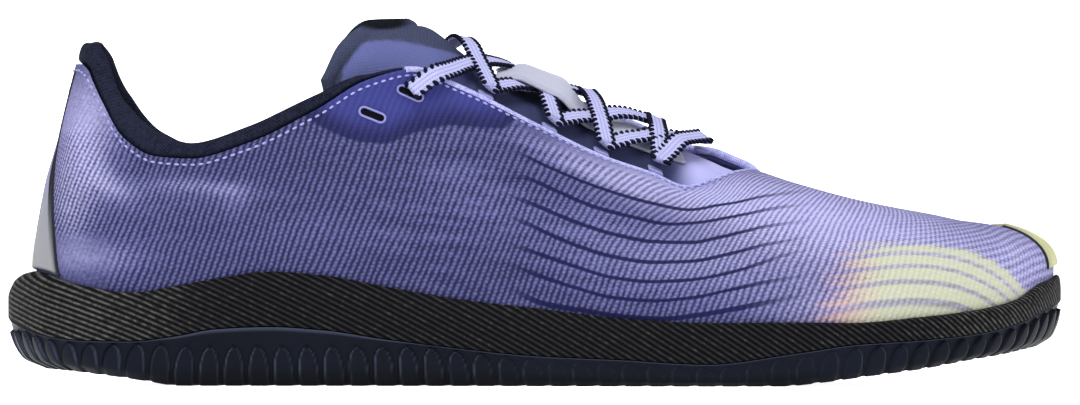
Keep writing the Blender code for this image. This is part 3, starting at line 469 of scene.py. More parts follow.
def curve(places, values, at):
    """A smooth curve through the values that never swings past them."""
    places, values, at = (np.asarray(v, float) for v in (places, values, at))
    steps = np.diff(places)
    rises = np.diff(values) / steps
    slopes = np.empty_like(values)
    slopes[0], slopes[-1] = rises[0], rises[-1]
    before, after = rises[:-1], rises[1:]
    weight_before, weight_after = 2 * steps[1:] + steps[:-1], steps[1:] + 2 * steps[:-1]
    same_way = before * after > 0
    safe_before, safe_after = np.where(same_way, before, 1), np.where(same_way, after, 1)
    mean = (weight_before + weight_after) / (weight_before / safe_before + weight_after / safe_after)
    slopes[1:-1] = np.where(same_way, mean, 0)
    span = np.clip(np.searchsorted(places, at, side="right") - 1, 0, len(steps) - 1)
    width = steps[span]
    s = np.clip((at - places[span]) / width, 0, 1)
    start, end = values[span], values[span + 1]
    return (
        start * (1 + 2 * s) * (1 - s) ** 2
        + slopes[span] * width * s * (1 - s) ** 2
        + end * s**2 * (3 - 2 * s)
        + slopes[span + 1] * width * s**2 * (s - 1)
    )


def read(tab, name, turn):
    """A table's column at a quarter turn."""
    return curve(quarter_turn(tab["along"]), tab[name], turn)


def unit(vectors):
    return vectors / np.linalg.norm(vectors, axis=-1, keepdims=True)


def at_length(forward):
    """X of a share of the length."""
    return (np.asarray(forward, float) - 0.5) * LENGTH


def height_of(kind):
    """The named height that a level is a share of."""
    return np.interp(kind, (0, 1, 2), (HEEL_HEIGHT, INSTEP_HEIGHT, TOE_HEIGHT))


def side_and_turn(place):
    """A place on the loop round the shoe: 0 is the heel's back, 1 the toe, 2 the heel's back again."""
    place = np.mod(np.asarray(place, float), 2)
    return np.where(place <= 1, LATERAL, MEDIAL), np.where(place <= 1, place, 2 - place)


def outline(place):
    """The sole's edge seen from above."""
    side, turn = side_and_turn(place)
    width = HEEL_WIDTH + (BALL_WIDTH - HEEL_WIDTH) * read(OUTLINE, "of", turn)
    middle = read(OUTLINE, "middle", turn) * BALL_WIDTH
    half = read(OUTLINE, "half", turn) * width
    x = at_length((1 - np.cos(math.pi * turn)) / 2)
    return np.stack([x, middle + side * half], axis=-1)


def outward(place):
    """The direction straight out of the sole's edge, seen from above."""
    step = 1e-3
    ahead = outline(place + step) - outline(place - step)
    return unit(np.stack([-ahead[..., 1], ahead[..., 0]], axis=-1)) * -1


def rises(forward):
    """The underside's height and the footbed's, at a share of the length."""
    heel = curve(UNDERSIDE["forward"], UNDERSIDE["heel"], forward) * HEEL_BEVEL
    toe = curve(UNDERSIDE["forward"], UNDERSIDE["toe"], forward) * TOE_SPRING
    return heel + toe, SOLE_THICKNESS + heel / 2 + toe


def share_of_length(x):
    return np.clip(np.asarray(x) / LENGTH + 0.5, 0, 1)


def rim(place):
    """The wall's top edge, and the ridge over the toes."""
    side, turn = side_and_turn(place)
    points = np.empty(np.shape(turn) + (3,))
    for which, tab in ((LATERAL, RIM_LATERAL), (MEDIAL, RIM_MEDIAL)):
        here = side == which
        places = quarter_turn(np.concatenate([tab["along"], RIDGE["along"]]))
        forward = np.concatenate([tab["forward"], RIDGE["forward"]])
        across = np.concatenate([tab["side"] * which, RIDGE["side"]])
        level = np.concatenate([tab["level"] * height_of(tab["of"]), RIDGE["level"] * height_of(RIDGE["of"])])
        points[here, 0] = at_length(curve(places, forward, turn[here]))
        points[here, 1] = curve(places, across, turn[here]) * BALL_WIDTH
        points[here, 2] = curve(places, level, turn[here])
    return points


def inset(turn):
    """How far the upper's widest line lies inside the sole's edge."""
    heel = np.clip(1 - turn / 0.22, 0, 1) ** 2
    toe = np.clip((turn - 0.80) / 0.20, 0, 1) ** 2
    return SIDE_INSET + heel * (HEEL_INSET - SIDE_INSET) + toe * (TOE_INSET - SIDE_INSET)


def wall_run(place, samples=49):
    """Dense points up each wall: from under the foot to the widest line, and from there to the top."""
    place = np.atleast_1d(place)
    _, turn = side_and_turn(place)
    edge, out, top = outline(place), outward(place), rim(place)
    widest = edge - out * inset(turn)[:, None]
    feather = widest - out * UPPER_TUCK
    widest_z = read(BAND, "top", turn) * SIDEWALL_HEIGHT + WIDEST_RISE
    feather_z = rises(share_of_length(feather[:, 0]))[1] + FIT_GAP
    s = np.linspace(0, 1, samples)
    under = np.sin(s * math.pi / 2)
    tuck = np.empty((len(place), samples, 3))
    tuck[..., :2] = feather[:, None] + (widest - feather)[:, None] * under[None, :, None]
    fall = 1 - np.cos(s * math.pi / 2)
    tuck[..., 2] = feather_z[:, None] + (widest_z - feather_z)[:, None] * fall
    end = np.radians(read(WALL, "end", turn))[:, None]
    full = read(WALL, "full", turn)[:, None]
    angle = s[None] ** (1 / full) * end
    over = (1 - np.cos(angle) ** full) / (1 - np.cos(end) ** full)
    up = (np.sin(angle) / np.sin(end)) ** full
    wall = np.empty_like(tuck)
    wall[..., :2] = widest[:, None] + (top[:, :2] - widest)[:, None] * over[..., None]
    wall[..., 2] = widest_z[:, None] + (top[:, 2] - widest_z)[:, None] * up
    return tuck, wall


def spaced(runs, shares):
    """Points at even shares of the way along each run."""
    way = way_along(runs, 1)
    way /= way[:, -1:]
    found = np.empty((len(runs), len(shares), 3))
    for i, run in enumerate(runs):
        for k in range(3):
            found[i, :, k] = np.interp(shares, way[i], run[:, k])
    return found


def shell(place, up):
    """The upper's outer surface. up runs from -1 under the foot, through 0 at its widest, to 1 at the top."""
    up = np.asarray(up, float)
    tuck, wall = wall_run(place)
    low = spaced(tuck, np.clip(up + 1, 0, 1))
    high = spaced(wall, np.clip(up, 0, 1))
    return np.where((up < 0)[None, :, None], low, high)


def shell_normals(place, up):
    """The direction out of the upper's surface."""
    place, up = np.atleast_1d(place), np.asarray(up, float)
    step = 2e-3
    along = shell(place + step, up) - shell(place - step, up)
    rise = shell(place, np.minimum(up + step, 1)) - shell(place, np.maximum(up - step, -1))
    return unit(np.cross(along, rise))


def offset_shell(place, up, distance):
    """The upper's surface moved outwards, or inwards where the distance is negative."""
    return shell(place, up) + shell_normals(place, up) * np.asarray(distance)[..., None]


def shell_at_height(place, heights):
    """Where the wall is at given heights, one row of heights for each place."""
    tuck, wall = wall_run(place)
    runs = np.concatenate([tuck[:, :-1], wall], axis=1)
    found = np.empty(heights.shape + (3,))
    for i, run in enumerate(runs):
        for k in range(2):
            found[i, :, k] = np.interp(heights[i], run[:, 2], run[:, k])
    found[..., 2] = heights
    return found


def tongue_net():
    """The tongue's face as rows of seven points, from its top edge down the throat to its toe end."""
    net = []
    for k in range(len(FLAP["forward"])):
        middle = np.array([at_length(FLAP["forward"][k]), FLAP["side"][k] * BALL_WIDTH, 0])
        middle[2] = FLAP["level"][k] * INSTEP_HEIGHT
        row = []
        for step in range(-3, 4):
            word = "lat" if step < 0 else "med"
            turn = abs(step) * math.pi / 6
            fallen = 1 - math.cos(turn)
            back = FLAP[word + "_back"][k] * LENGTH * fallen ** FLAP["reach"][k]
            out = FLAP[word + "_out"][k] * BALL_WIDTH * math.sin(turn)
            drop = FLAP[word + "_drop"][k] * fallen ** FLAP["fall"][k]
            roll = math.copysign(FLAP["roll"][k] * math.sin(turn), step)
            row.append(middle + [-back, math.copysign(out, step), (roll - drop) * INSTEP_HEIGHT])
        net.append(row)
    under = -(UPPER_WALL + TONGUE_CLEAR)
    wing = 1 - TONGUE_WING / (INSTEP_HEIGHT - SIDEWALL_HEIGHT)
    for k, along in enumerate(THROAT["along"]):
        turn = quarter_turn(along)
        crown = np.array([at_length(THROAT["forward"][k]), THROAT["side"][k] * BALL_WIDTH, 0])
        crown[2] = THROAT["level"][k] * INSTEP_HEIGHT
        halves = []
        for place in (turn, 2 - turn):
            away = np.array([under - TONGUE_TUCK, under])
            deep, edge = offset_shell(np.array([place]), [wing, 0.985], away)[0]
            shoulder = edge + (crown - edge) * 0.5
            shoulder[2] += np.linalg.norm(crown - edge) * TONGUE_BULGE
            halves.append([deep, edge, shoulder])
        net.append(halves[0] + [crown] + halves[1][::-1])
    return np.array(net)


def tongue_surface(lengths, widths):
    """The tongue's face. lengths run from its top edge to its toe end, widths from -1 to 1 across."""
    net = tongue_net()
    rows, columns = net.shape[:2]
    lengths, widths = np.asarray(lengths, float), np.asarray(widths, float)
    ribs = np.empty((len(lengths), columns, 3))
    for j in range(columns):
        for k in range(3):
            ribs[:, j, k] = curve(np.linspace(0, 1, rows), net[:, j, k], lengths)
    points = np.empty((len(lengths), len(widths), 3))
    for i, rib in enumerate(ribs):
        for k in range(3):
            points[i, :, k] = curve(np.linspace(-1, 1, columns), rib[:, k], widths)
    return points


def face_height(face, x, y):
    """The height of the tongue's face over a place on the floor."""
    miss = np.hypot(face[..., 0] - x, face[..., 1] - y)
    near = miss < miss.min() + 0.0008
    return face[..., 2][near].max()


def loop_frame(side, along):
    """At a lace loop: the throat's edge there, the way in towards the tongue, and the way up."""
    turn = quarter_turn(along)
    place = np.array([turn if side == LATERAL else 2 - turn])
    edge = shell(place, [1.0])[0, 0]
    before = shell(place, [0.96])[0, 0]
    crown = np.array([edge[0], np.interp(along, THROAT["along"], THROAT["side"]) * BALL_WIDTH, 0])
    crown[2] = np.interp(along, THROAT["along"], THROAT["level"]) * INSTEP_HEIGHT
    inward = unit(0.35 * unit(edge - before) + unit(crown - edge))
    across = unit(np.cross(shell_normals(place, [0.97])[0, 0], inward))
    return edge, inward, np.cross(inward, across)


def lace_turns():
    """Where the lace turns on each side: the slot at the top, then the loops."""
    turns = {}
    for side in (LATERAL, MEDIAL):
        row = list(SLOTS["side"]).index(side)
        x, z = at_length(SLOTS["forward"][row]), SLOTS["level"][row] * INSTEP_HEIGHT
        fine = np.linspace(0.30, 0.50, 200)
        places = fine if side == LATERAL else 2 - fine
        grid = shell(places, np.linspace(0.5, 1, 60))
        miss = np.hypot(grid[..., 0] - x, grid[..., 2] - z)
        i, j = np.unravel_index(np.argmin(miss), miss.shape)
        normal = shell_normals(places[i : i + 1], [0.9])[0, 0]
        ahead = LACE_SLANT if side == LATERAL else 0.0
        edge = shell(places[i : i + 1] + ahead, [1.0])[0, 0]
        turns[side] = [(grid[i, j], normal, edge)]
        for along in LOOPS[side]:
            edge, inward, up = loop_frame(side, along)
            turns[side].append((edge + inward * LOOP_LENGTH * 0.75, up, None))
    return turns


def lace_path(start, end, above, face):
    """A run's middle line: over the eyestay's edge where it starts in a slot, and clear of the tongue."""
    lift = LACE_LIFT + above
    stops = [start[0] + start[1] * lift]
    for _, up, edge in (start, end):
        if edge is not None:
            stops.append(edge + up * (lift + LACE_THICKNESS))
    stops.append(end[0] + end[1] * lift)
    if end[2] is not None:
        stops[1:-1] = stops[-2:0:-1]
    stops = np.array(stops)
    path = spaced(stops[None], np.linspace(0, 1, 9))[0]
    chord = np.linalg.norm(path[-1] - path[0])
    path[:, 2] += np.sin(np.linspace(0, math.pi, len(path))) * chord * LACE_ARCH
    clear = LACE_THICKNESS / 2 + KEEPER_THICKNESS + 5 * FIT_GAP + above
    for point in path[1:-1]:
        point[2] = max(point[2], face_height(face, point[0], point[1]) + clear)
    for _ in range(2):
        path[1:-1, 2] = np.maximum(path[1:-1, 2], (path[:-2, 2] + path[2:, 2]) / 2)
    return path


def side_steps(points):
    """Points as steps across and down the shoe's side view."""
    return MIDDLE_STEP + points[..., 0] / STEP, FLOOR_STEP - points[..., 2] / STEP


def line_at(line, across):
    """How far down a drawn line is at each place across, and how steep it is there."""
    xs, ys = np.array(line, float).T
    at = np.clip(across, xs[0], xs[-1])
    ahead, behind = np.minimum(at + 1, xs[-1]), np.maximum(at - 1, xs[0])
    return curve(xs, ys, at), (curve(xs, ys, ahead) - curve(xs, ys, behind)) / 2


def ramp(low, high, values):
    """0 below low, 1 above high, smooth between."""
    share = np.clip((values - low) / (high - low), 0, 1)
    return share * share * (3 - 2 * share)


def between(edges, values):
    """1 between the two inner edges, 0 outside the outer ones, smooth on the way."""
    return ramp(edges[0], edges[1], values) * (1 - ramp(edges[2], edges[3], values))


def line_number(lines, across, down, onward=False):
    """A field that is 1 on the first drawn line, 2 on the second, and runs evenly between them."""
    levels = np.stack([line_at(line, across)[0] for line in lines])
    if onward:
        for row, line in zip(levels, lines):
            (x, y), (end, last) = line[-2:]
            row += ONWARD * ((last - y) / (end - x)) * np.maximum(across - end, 0)
    number = np.full(down.shape, 0.5)
    for k in range(len(lines)):
        last = k + 1 == len(lines)
        below = levels[k] + LINE_GAP if last else levels[k + 1]
        share = np.clip((down - levels[k]) / np.maximum(below - levels[k], 4), 0, 1)
        number = np.where(down >= levels[k], k + 1 + share * (0.5 if last else 1), number)
    above = (down - levels[0]) / LINE_GAP
    return np.where(down < levels[0], 1 + np.clip(above, -0.5, 0), number)


def relief(points):
    """How far the upper's soft ridges stand out, and its troughs lie in."""
    return zone_sum(FORMS, *side_steps(points)) * 0.001


def smooth_loft(name, points, uv, material, wrap_rows=False, wrap_columns=False, fields=None):
    """A grid of points made a mesh: its doubles welded, with a UV map in metres and named fields."""
    rows, columns = points.shape[:2]
    near = np.arange(rows * columns).reshape(rows, columns)
    far = np.roll(near, -1, axis=0)
    if not wrap_rows:
        near, far = near[:-1], far[:-1]
    quads = np.stack([near, far, np.roll(far, -1, axis=1), np.roll(near, -1, axis=1)], axis=-1)
    if not wrap_columns:
        quads = quads[:, :-1]
    quads, points, uv = quads.reshape(-1, 4), points.reshape(-1, 3), uv.reshape(-1, 2)
    whole = np.round(points / WELD).astype(np.int64)
    _, first, weld = np.unique(whole, axis=0, return_index=True, return_inverse=True)
    weld = weld.reshape(-1)
    faces, corners = [], []
    for quad, welded in zip(quads.tolist(), weld[quads].tolist()):
        kept = [k for k in range(4) if welded[k] != welded[k - 1]]
        if len(kept) < 3 or len(set(welded)) < 3:
            continue
        faces.append([welded[k] for k in kept])
        corners += [quad[k] for k in kept]
    mesh = bpy.data.meshes.new(name)
    mesh.from_pydata(points[first].tolist(), [], faces)
    layer = mesh.uv_layers.new(name="cloth")
    layer.data.foreach_set("uv", uv[corners].astype(np.float32).reshape(-1))
    for field, values in (fields or {}).items():
        made = mesh.attributes.new(field, "FLOAT", "POINT")
        made.data.foreach_set("value", np.asarray(values, np.float32).reshape(-1)[first])
    mesh.materials.append(material)
    mesh.shade_smooth()
    return placed(name, mesh)


def placed(name, data):
    """An object made of a mesh, lamp or camera, in the scene."""
    made = bpy.data.objects.new(name, data)
    bpy.context.scene.collection.objects.link(made)
    return made


def join_pieces(name, pieces):
    """Several mesh objects made one, without an operator's context."""
    work = bmesh.new()
    for piece in pieces:
        work.from_mesh(piece.data)
    mesh = pieces[0].data.copy()
    mesh.name = name
    work.to_mesh(mesh)
    work.free()
    for piece in pieces:
        bpy.data.objects.remove(piece)
    return placed(name, mesh)


def seat(piece, slot, *nodes):
    """The piece rides with the shoe, stands for its solids and takes their slot."""
    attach(piece, "root")
    if nodes:
        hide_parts(*nodes)
    return piece


def way_along(points, axis=0):
    """The distance along each line of points, from its first point."""
    steps = np.linalg.norm(np.diff(points, axis=axis), axis=-1)
    return np.insert(np.cumsum(steps, axis=axis), 0, 0.0, axis=axis)


def uv_map(u, v):
    """Two coordinates over a grid as one map."""
    return np.stack(np.broadcast_arrays(u, v), axis=-1)


def there_and_back(points, axis=1):
    """A face's grid followed by its own way back."""
    return np.concatenate([points, np.flip(points, axis)], axis=axis)


def capped(rings, middle, *maps):
    """Rings drawn in to their middle at both ends, and maps with as many rows."""
    first, last = (np.repeat(end, rings.shape[1], axis=1) for end in (middle[:1], middle[-1:]))
    return [np.concatenate([first, rings, last])] + [np.concatenate([m[:1], m, m[-1:]]) for m in maps]


def both_sides(one_way):
    """Places from the heel's back to the toe down the outer side, then back along the inner side."""
    return np.concatenate([one_way, 2 - one_way[-2:0:-1]])


def mirrored_way(points):
    """For a loop of places as both_sides gives them: the distance from the heel's back, on each side."""
    half = len(points) // 2
    out = way_along(points[: half + 1])
    home = way_along(np.concatenate([points[:1], points[:half - 1:-1]]))
    home *= out[-1] / home[-1]
    return np.concatenate([out, home[:0:-1][1:]])


# Finishes


class Finish:
    """Short words for building a material's nodes."""

    def __init__(self, name, roughness=0.8, **sockets):
        self.material = bpy.data.materials.new(name)
        self.material.use_nodes = True
        self.nodes = self.material.node_tree.nodes
        self.links = self.material.node_tree.links
        self.shader = self.nodes["Principled BSDF"]
        self.shader.inputs["Roughness"].default_value = roughness
        for socket, value in sockets.items():
            self.shader.inputs[socket.replace("_", " ")].default_value = value

    def add(self, kind, **settings):
        node = self.nodes.new("ShaderNode" + kind)
        for name, value in settings.items():
            setattr(node, name, value)
        return node

    def put(self, socket, value):
        if isinstance(value, bpy.types.NodeSocket):
            self.links.new(value, socket)
        elif isinstance(value, (float, int)):
            socket.default_value = value
        else:
            socket.default_value = (*value, 1.0)

    def math(self, operation, a, b=0.0, c=0.0):
        node = self.add("Math", operation=operation)
        for k, value in enumerate((a, b, c)):
            self.put(node.inputs[k], value)
        return node.outputs[0]

    def times(self, a, b):
        return self.math("MULTIPLY", a, b)

    def plus(self, a, b):
        return self.math("ADD", a, b)

    def minus(self, a, b):
        return self.math("SUBTRACT", a, b)

    def times_plus(self, a, b, c):
        return self.math("MULTIPLY_ADD", a, b, c)

    def mix(self, share, a, b):
        node = self.add("Mix", data_type="RGBA")
        for socket, value in ((0, share), (6, a), (7, b)):
            self.put(node.inputs[socket], value)
        return node.outputs[2]

    def step(self, low, high, value):
        node = self.add("MapRange", interpolation_type="SMOOTHSTEP")
        for socket, put in enumerate((value, low, high)):
            self.put(node.inputs[socket], put)
        return node.outputs[0]

    def field(self, name):
        return self.add("Attribute", attribute_name=name).outputs["Fac"]

    def cloth(self):
        """The cloth's own coordinates in metres, across and up."""
        split = self.add("SeparateXYZ")
        self.links.new(self.add("UVMap", uv_map="cloth").outputs[0], split.inputs[0])
        return split.outputs[0], split.outputs[1]

    def noise(self, scale, detail=2.0, coordinates=None):
        node = self.add("TexNoise")
        node.inputs["Scale"].default_value = scale
        node.inputs["Detail"].default_value = detail
        self.links.new(coordinates or self.add("TexCoord").outputs["Object"], node.inputs["Vector"])
        return node.outputs["Fac"]

    def clamped(self, value):
        node = self.add("Clamp")
        self.put(node.inputs[0], value)
        return node.outputs[0]

    def stretched(self, u, v, along, up):
        """The cloth's coordinates as a vector, each with its own scale."""
        node = self.add("CombineXYZ")
        self.put(node.inputs[0], self.times(u, along))
        self.put(node.inputs[1], self.times(v, up))
        return node.outputs[0]

    def wave(self, value, pitch):
        """From 0 to 1 and back once in each pitch."""
        turn = self.times(value, 2 * math.pi / pitch)
        return self.times_plus(self.math("COSINE", turn), -0.5, 0.5)

    def weave(self, u, v, pitch):
        """Two sets of slanting threads, crossed."""
        return self.times(self.wave(self.plus(u, v), pitch), self.wave(self.minus(u, v), pitch))

    def off_line(self, number):
        """How far a field of line numbers is from the nearest whole one."""
        return self.math("ABSOLUTE", self.minus(number, self.math("ROUND", number)))

    def colour(self, value):
        self.put(self.shader.inputs["Base Color"], value)

    def bump(self, height, distance, strength=1.0):
        node = self.add("Bump")
        node.inputs["Strength"].default_value = strength
        node.inputs["Distance"].default_value = distance
        self.put(node.inputs["Height"], height)
        self.links.new(node.outputs[0], self.shader.inputs["Normal"])


def knit_finish(looks):
    """Two-tone jacquard knit: pale loops in columns over a deep ground, with waves, print and film."""
    f = Finish("jacquard_knit", 0.9, Specular_IOR_Level=0.04)
    u, v = f.cloth()
    across = f.times_plus(f.noise(500), 0.0006, f.times_plus(v, -0.40, u))
    across = f.times_plus(f.noise(28), 0.0040, across)
    column = f.wave(across, looks.column_pitch)
    shift = f.times(f.math("FLOOR", f.math("DIVIDE", across, looks.column_pitch)), looks.row_pitch / 2)
    row = f.wave(f.plus(f.times_plus(u, 0.12, v), shift), looks.row_pitch)
    column = f.times_plus(f.minus(column, 0.5), f.times_plus(f.field("toe_rows"), -0.55, 1.0), 0.5)
    loop = f.times(column, f.times_plus(row, 0.42, 0.58))
    raised = f.minus(loop, 0.36)
    fine = f.noise(1400, 3)
    grain = f.minus(fine, 0.5)
    # The tone field holds painted highlights and shade besides the knit's own tone; where it is low the pale
    # yarn turns blue.
    tone = f.field("tone")
    coarse = f.times_plus(f.field("smooth"), -0.8, 1.0)
    pattern = f.times(raised, f.times(coarse, looks.knit_contrast))
    pattern = f.times_plus(grain, 0.75, pattern)
    streak = f.minus(f.noise(1.0, 2, f.stretched(u, v, 60, 420)), 0.5)
    pattern = f.times_plus(streak, f.times_plus(f.field("streaks"), 0.55, 0.20), pattern)
    # Fine dark lines round the heel, and pale rows that follow the toe round.
    lines = f.wave(f.times_plus(u, 0.10, v), looks.heel_line_pitch)
    pattern = f.times_plus(f.times(lines, f.field("heel")), -0.20, pattern)
    rows = f.minus(f.wave(v, looks.toe_row_pitch), 0.5)
    pattern = f.times_plus(f.times(rows, f.field("toe_rows")), 0.42, pattern)
    share = f.plus(tone, f.times(pattern, f.times_plus(tone, 0.9, 0.35)))
    pale = f.mix(f.noise(55, 3), looks.knit_light, looks.knit_violet)
    pale = f.mix(f.step(0.50, 0.12, tone), pale, looks.knit_blue)
    knit = f.mix(f.clamped(share), looks.knit_dark, pale)
    # Waves over the forefoot.
    away = f.times_plus(grain, 0.07, f.off_line(f.field("wave")))
    line = f.times(f.step(0.13, 0.06, away), f.field("wave_share"))
    knit = f.mix(f.times(line, 0.95), knit, looks.wave_blue)
    # The pale print at the toe, its warm left end and the lilac lines through it.
    bare = f.step(0.22, 0.06, f.off_line(f.field("toe_line")))
    stipple = f.times_plus(raised, 0.30, f.times(grain, 0.35))
    streak = f.minus(f.noise(1.0, 2, f.stretched(u, v, 50, 500)), 0.5)
    printed = f.plus(f.times_plus(streak, 0.9, f.field("print")), stipple)
    printed = f.times(f.step(0.12, 0.80, printed), f.step(0.0, 0.12, f.field("print")))
    printed = f.times(printed, f.times_plus(bare, -0.62, 1.0))
    warm = f.mix(f.field("warm"), looks.print_pale, looks.print_warm)
    warm = f.mix(f.times(f.minus(1.0, loop), 0.35), warm, looks.print_shade)
    knit = f.mix(f.times(printed, 0.88), knit, warm)
    # The smooth film round the top eyelets, darkest along its lower edge.
    film = f.field("film")
    inside = f.step(-0.0004, 0.0004, film)
    deep = f.times_plus(f.noise(70, 3), 0.5, f.minus(f.step(0.0075, 0.0008, film), 0.25))
    film_colour = f.mix(f.clamped(deep), looks.film_light, looks.film_dark)
    film_colour = f.mix(f.times(loop, 0.03), film_colour, looks.knit_light)
    knit = f.mix(inside, knit, film_colour)
    # Painted shade: the slots' openings painted near black.
    f.colour(f.mix(f.step(0.0003, -0.0003, f.field("slot")), knit, looks.slot_dark))
    f.put(f.shader.inputs["Roughness"], f.times_plus(inside, -0.38, 0.9))
    cloth = f.times(coarse, f.times_plus(inside, -0.8, 1.0))
    height = f.times_plus(fine, 0.25, f.times(loop, cloth))
    f.bump(f.times_plus(line, -0.45, height), 0.00030, 0.8)
    return f.material


def plain_cloth(name, dark, light, pitch=0.0009, bump=0.00012, hem=None):
    """A close fabric: two near colours in a fine weave."""
    f = Finish(name, 0.9, Specular_IOR_Level=0.04)
    grain = f.times_plus(f.noise(1100), 0.9, f.times(f.weave(*f.cloth(), pitch), 0.5))
    shade = f.times_plus(f.noise(45, 3), 0.5, f.minus(grain, 0.25))
    cloth = f.mix(f.step(0.15, 0.85, shade), dark, light)
    f.colour(f.mix(f.field("hem"), cloth, hem) if hem else cloth)
    f.bump(grain, bump, 0.7)
    return f.material


def rubber_finish(name, dark, light, edge, roughness=0.55):
    """Moulded rubber: even colour with a faint bloom and a fine grain."""
    f = Finish(name, roughness, Specular_IOR_Level=0.035)
    worn = f.mix(f.noise(35, 3), dark, light)
    # Painted shade: darker in the grooves, round the lugs and towards the bottom.
    worn = f.mix(f.field("hollow"), worn, tuple(0.25 * c for c in dark))
    # Painted highlights on the lugs' rims and along the joint, from the edge field.
    f.colour(f.mix(f.field("edge"), worn, edge))
    f.bump(f.noise(1800), 0.00005, 0.5)
    return f.material


def ribbed_finish(looks):
    """The sidewall's rubber: slanting ribs, their backs worn a little paler."""
    f = Finish("ribbed_rubber", 0.60, Specular_IOR_Level=0.03)
    ribs = f.wave(f.field("rib"), 1.0)
    crown = f.step(0.35, 1.0, f.times_plus(f.minus(f.noise(900), 0.5), 0.3, ribs))
    # Paler flecks, most at the heel and toe where they are painted highlights.
    fleck = f.times_plus(f.field("worn"), 0.32, f.minus(f.noise(800, 4), 0.06))
    back = f.mix(f.step(0.42, 1.05, fleck), looks.rib_dark, looks.rib_light)
    # Painted shade in the grooves between the ribs, which are only a bump.
    f.colour(f.mix(f.times_plus(crown, 0.95, 0.05), looks.groove, back))
    f.bump(f.times_plus(f.noise(1600, 1), 0.12, ribs), 0.00035, 0.9)
    return f.material


def lace_finish(looks):
    """A flat woven lace: three pale ribs between darker gutters."""
    f = Finish("woven_lace", 0.85, Specular_IOR_Level=0.04)
    u, v = f.cloth()
    ribs = f.wave(f.plus(u, 0.00055), 0.0011)
    chevron = f.wave(f.times_plus(f.math("ABSOLUTE", u), 0.9, v), 0.00075)
    pick = f.times_plus(chevron, 0.35, f.times(ribs, 0.65))
    f.colour(f.mix(f.step(-0.15, 0.55, pick), looks.lace_gutter, looks.lace_light))
    f.bump(pick, 0.00025, 0.8)
    return f.material


def film_finish(name, dark, light, edge, roughness=0.5, grain=0.00006):
    """A thin moulded film or webbing: smooth, with a soft change of colour up it."""
    f = Finish(name, roughness, Specular_IOR_Level=0.12)
    shade = f.clamped(f.times_plus(f.noise(120, 3), 0.3, f.minus(f.field("shade"), 0.15)))
    f.colour(f.mix(f.field("rim"), f.mix(shade, dark, light), edge))
    f.bump(f.noise(1400), grain, 0.6)
    return f.material


def tongue_finish(looks):
    """The tongue: a violet-grey face, a dark band round its edge and a dark lining."""
    f = Finish("tongue_cloth", 0.88, Specular_IOR_Level=0.04)
    grain = f.times_plus(f.noise(1100), 0.8, f.times(f.weave(*f.cloth(), 0.0011), 0.6))
    woven = f.step(0.25, 0.95, grain)
    face = f.mix(f.times_plus(woven, 0.55, 0.35), looks.tongue_low, looks.tongue_face)
    face = f.mix(f.field("base"), face, looks.tongue_base)
    band = f.mix(f.times_plus(woven, 0.6, 0.2), looks.tongue_band_dark, looks.tongue_band)
    lining = f.mix(f.step(0.3, 0.9, grain), looks.lining_dark, looks.lining)
    f.colour(f.mix(f.field("lining"), f.mix(f.field("band"), face, band), lining))
    f.bump(grain, 0.00018, 0.7)
    return f.material


# Pieces


def full_places(count):
    """Places all round the shoe, with this many steps down each side."""
    return both_sides(np.linspace(0, 1, count + 1))


# Painted highlights and shade on the knit, with some of its own paler and deeper parts: across, down, half
# length, half height (steps), turn, change.
TONE_AND_PAINTED_LIGHT_ZONES = (
    (90, 108, 45, 50, 10, 0.34), (72, 190, 26, 60, 0, 0.36), (88, 150, 16, 38, -15, 0.22),
    (112, 186, 28, 12, 32, 0.22), (205, 188, 54, 9, 4, 0.20), (236, 200, 18, 16, 0, 0.10),
    (95, 258, 50, 16, 0, 0.22), (168, 160, 36, 10, 20, -0.03), (172, 216, 52, 12, 5, -0.02),
    (150, 200, 60, 40, 0, 0.06), (330, 235, 110, 26, 6, 0.05), (470, 190, 70, 30, 20, 0.08),
    (420, 262, 90, 10, 5, -0.04), (590, 165, 80, 16, 24, 0.30), (690, 185, 70, 24, 14, 0.45),
    (790, 205, 100, 36, 12, 0.42), (900, 235, 120, 46, 8, 0.42), (1030, 280, 60, 60, 0, 0.40),
    (720, 260, 120, 40, 0, 0.22), (850, 310, 90, 30, 0, 0.30), (600, 230, 90, 40, 10, 0.08),
)


def zone_sum(zones, across, down):
    """Soft spots added up."""
    total = np.zeros(across.shape)
    for x, y, long, wide, turn, change in zones:
        angle = math.radians(turn)
        a = (across - x) * math.cos(angle) + (down - y) * math.sin(angle)
        b = (down - y) * math.cos(angle) - (across - x) * math.sin(angle)
        total += change * np.exp(-((a / long) ** 2) - (b / wide) ** 2)
    return total


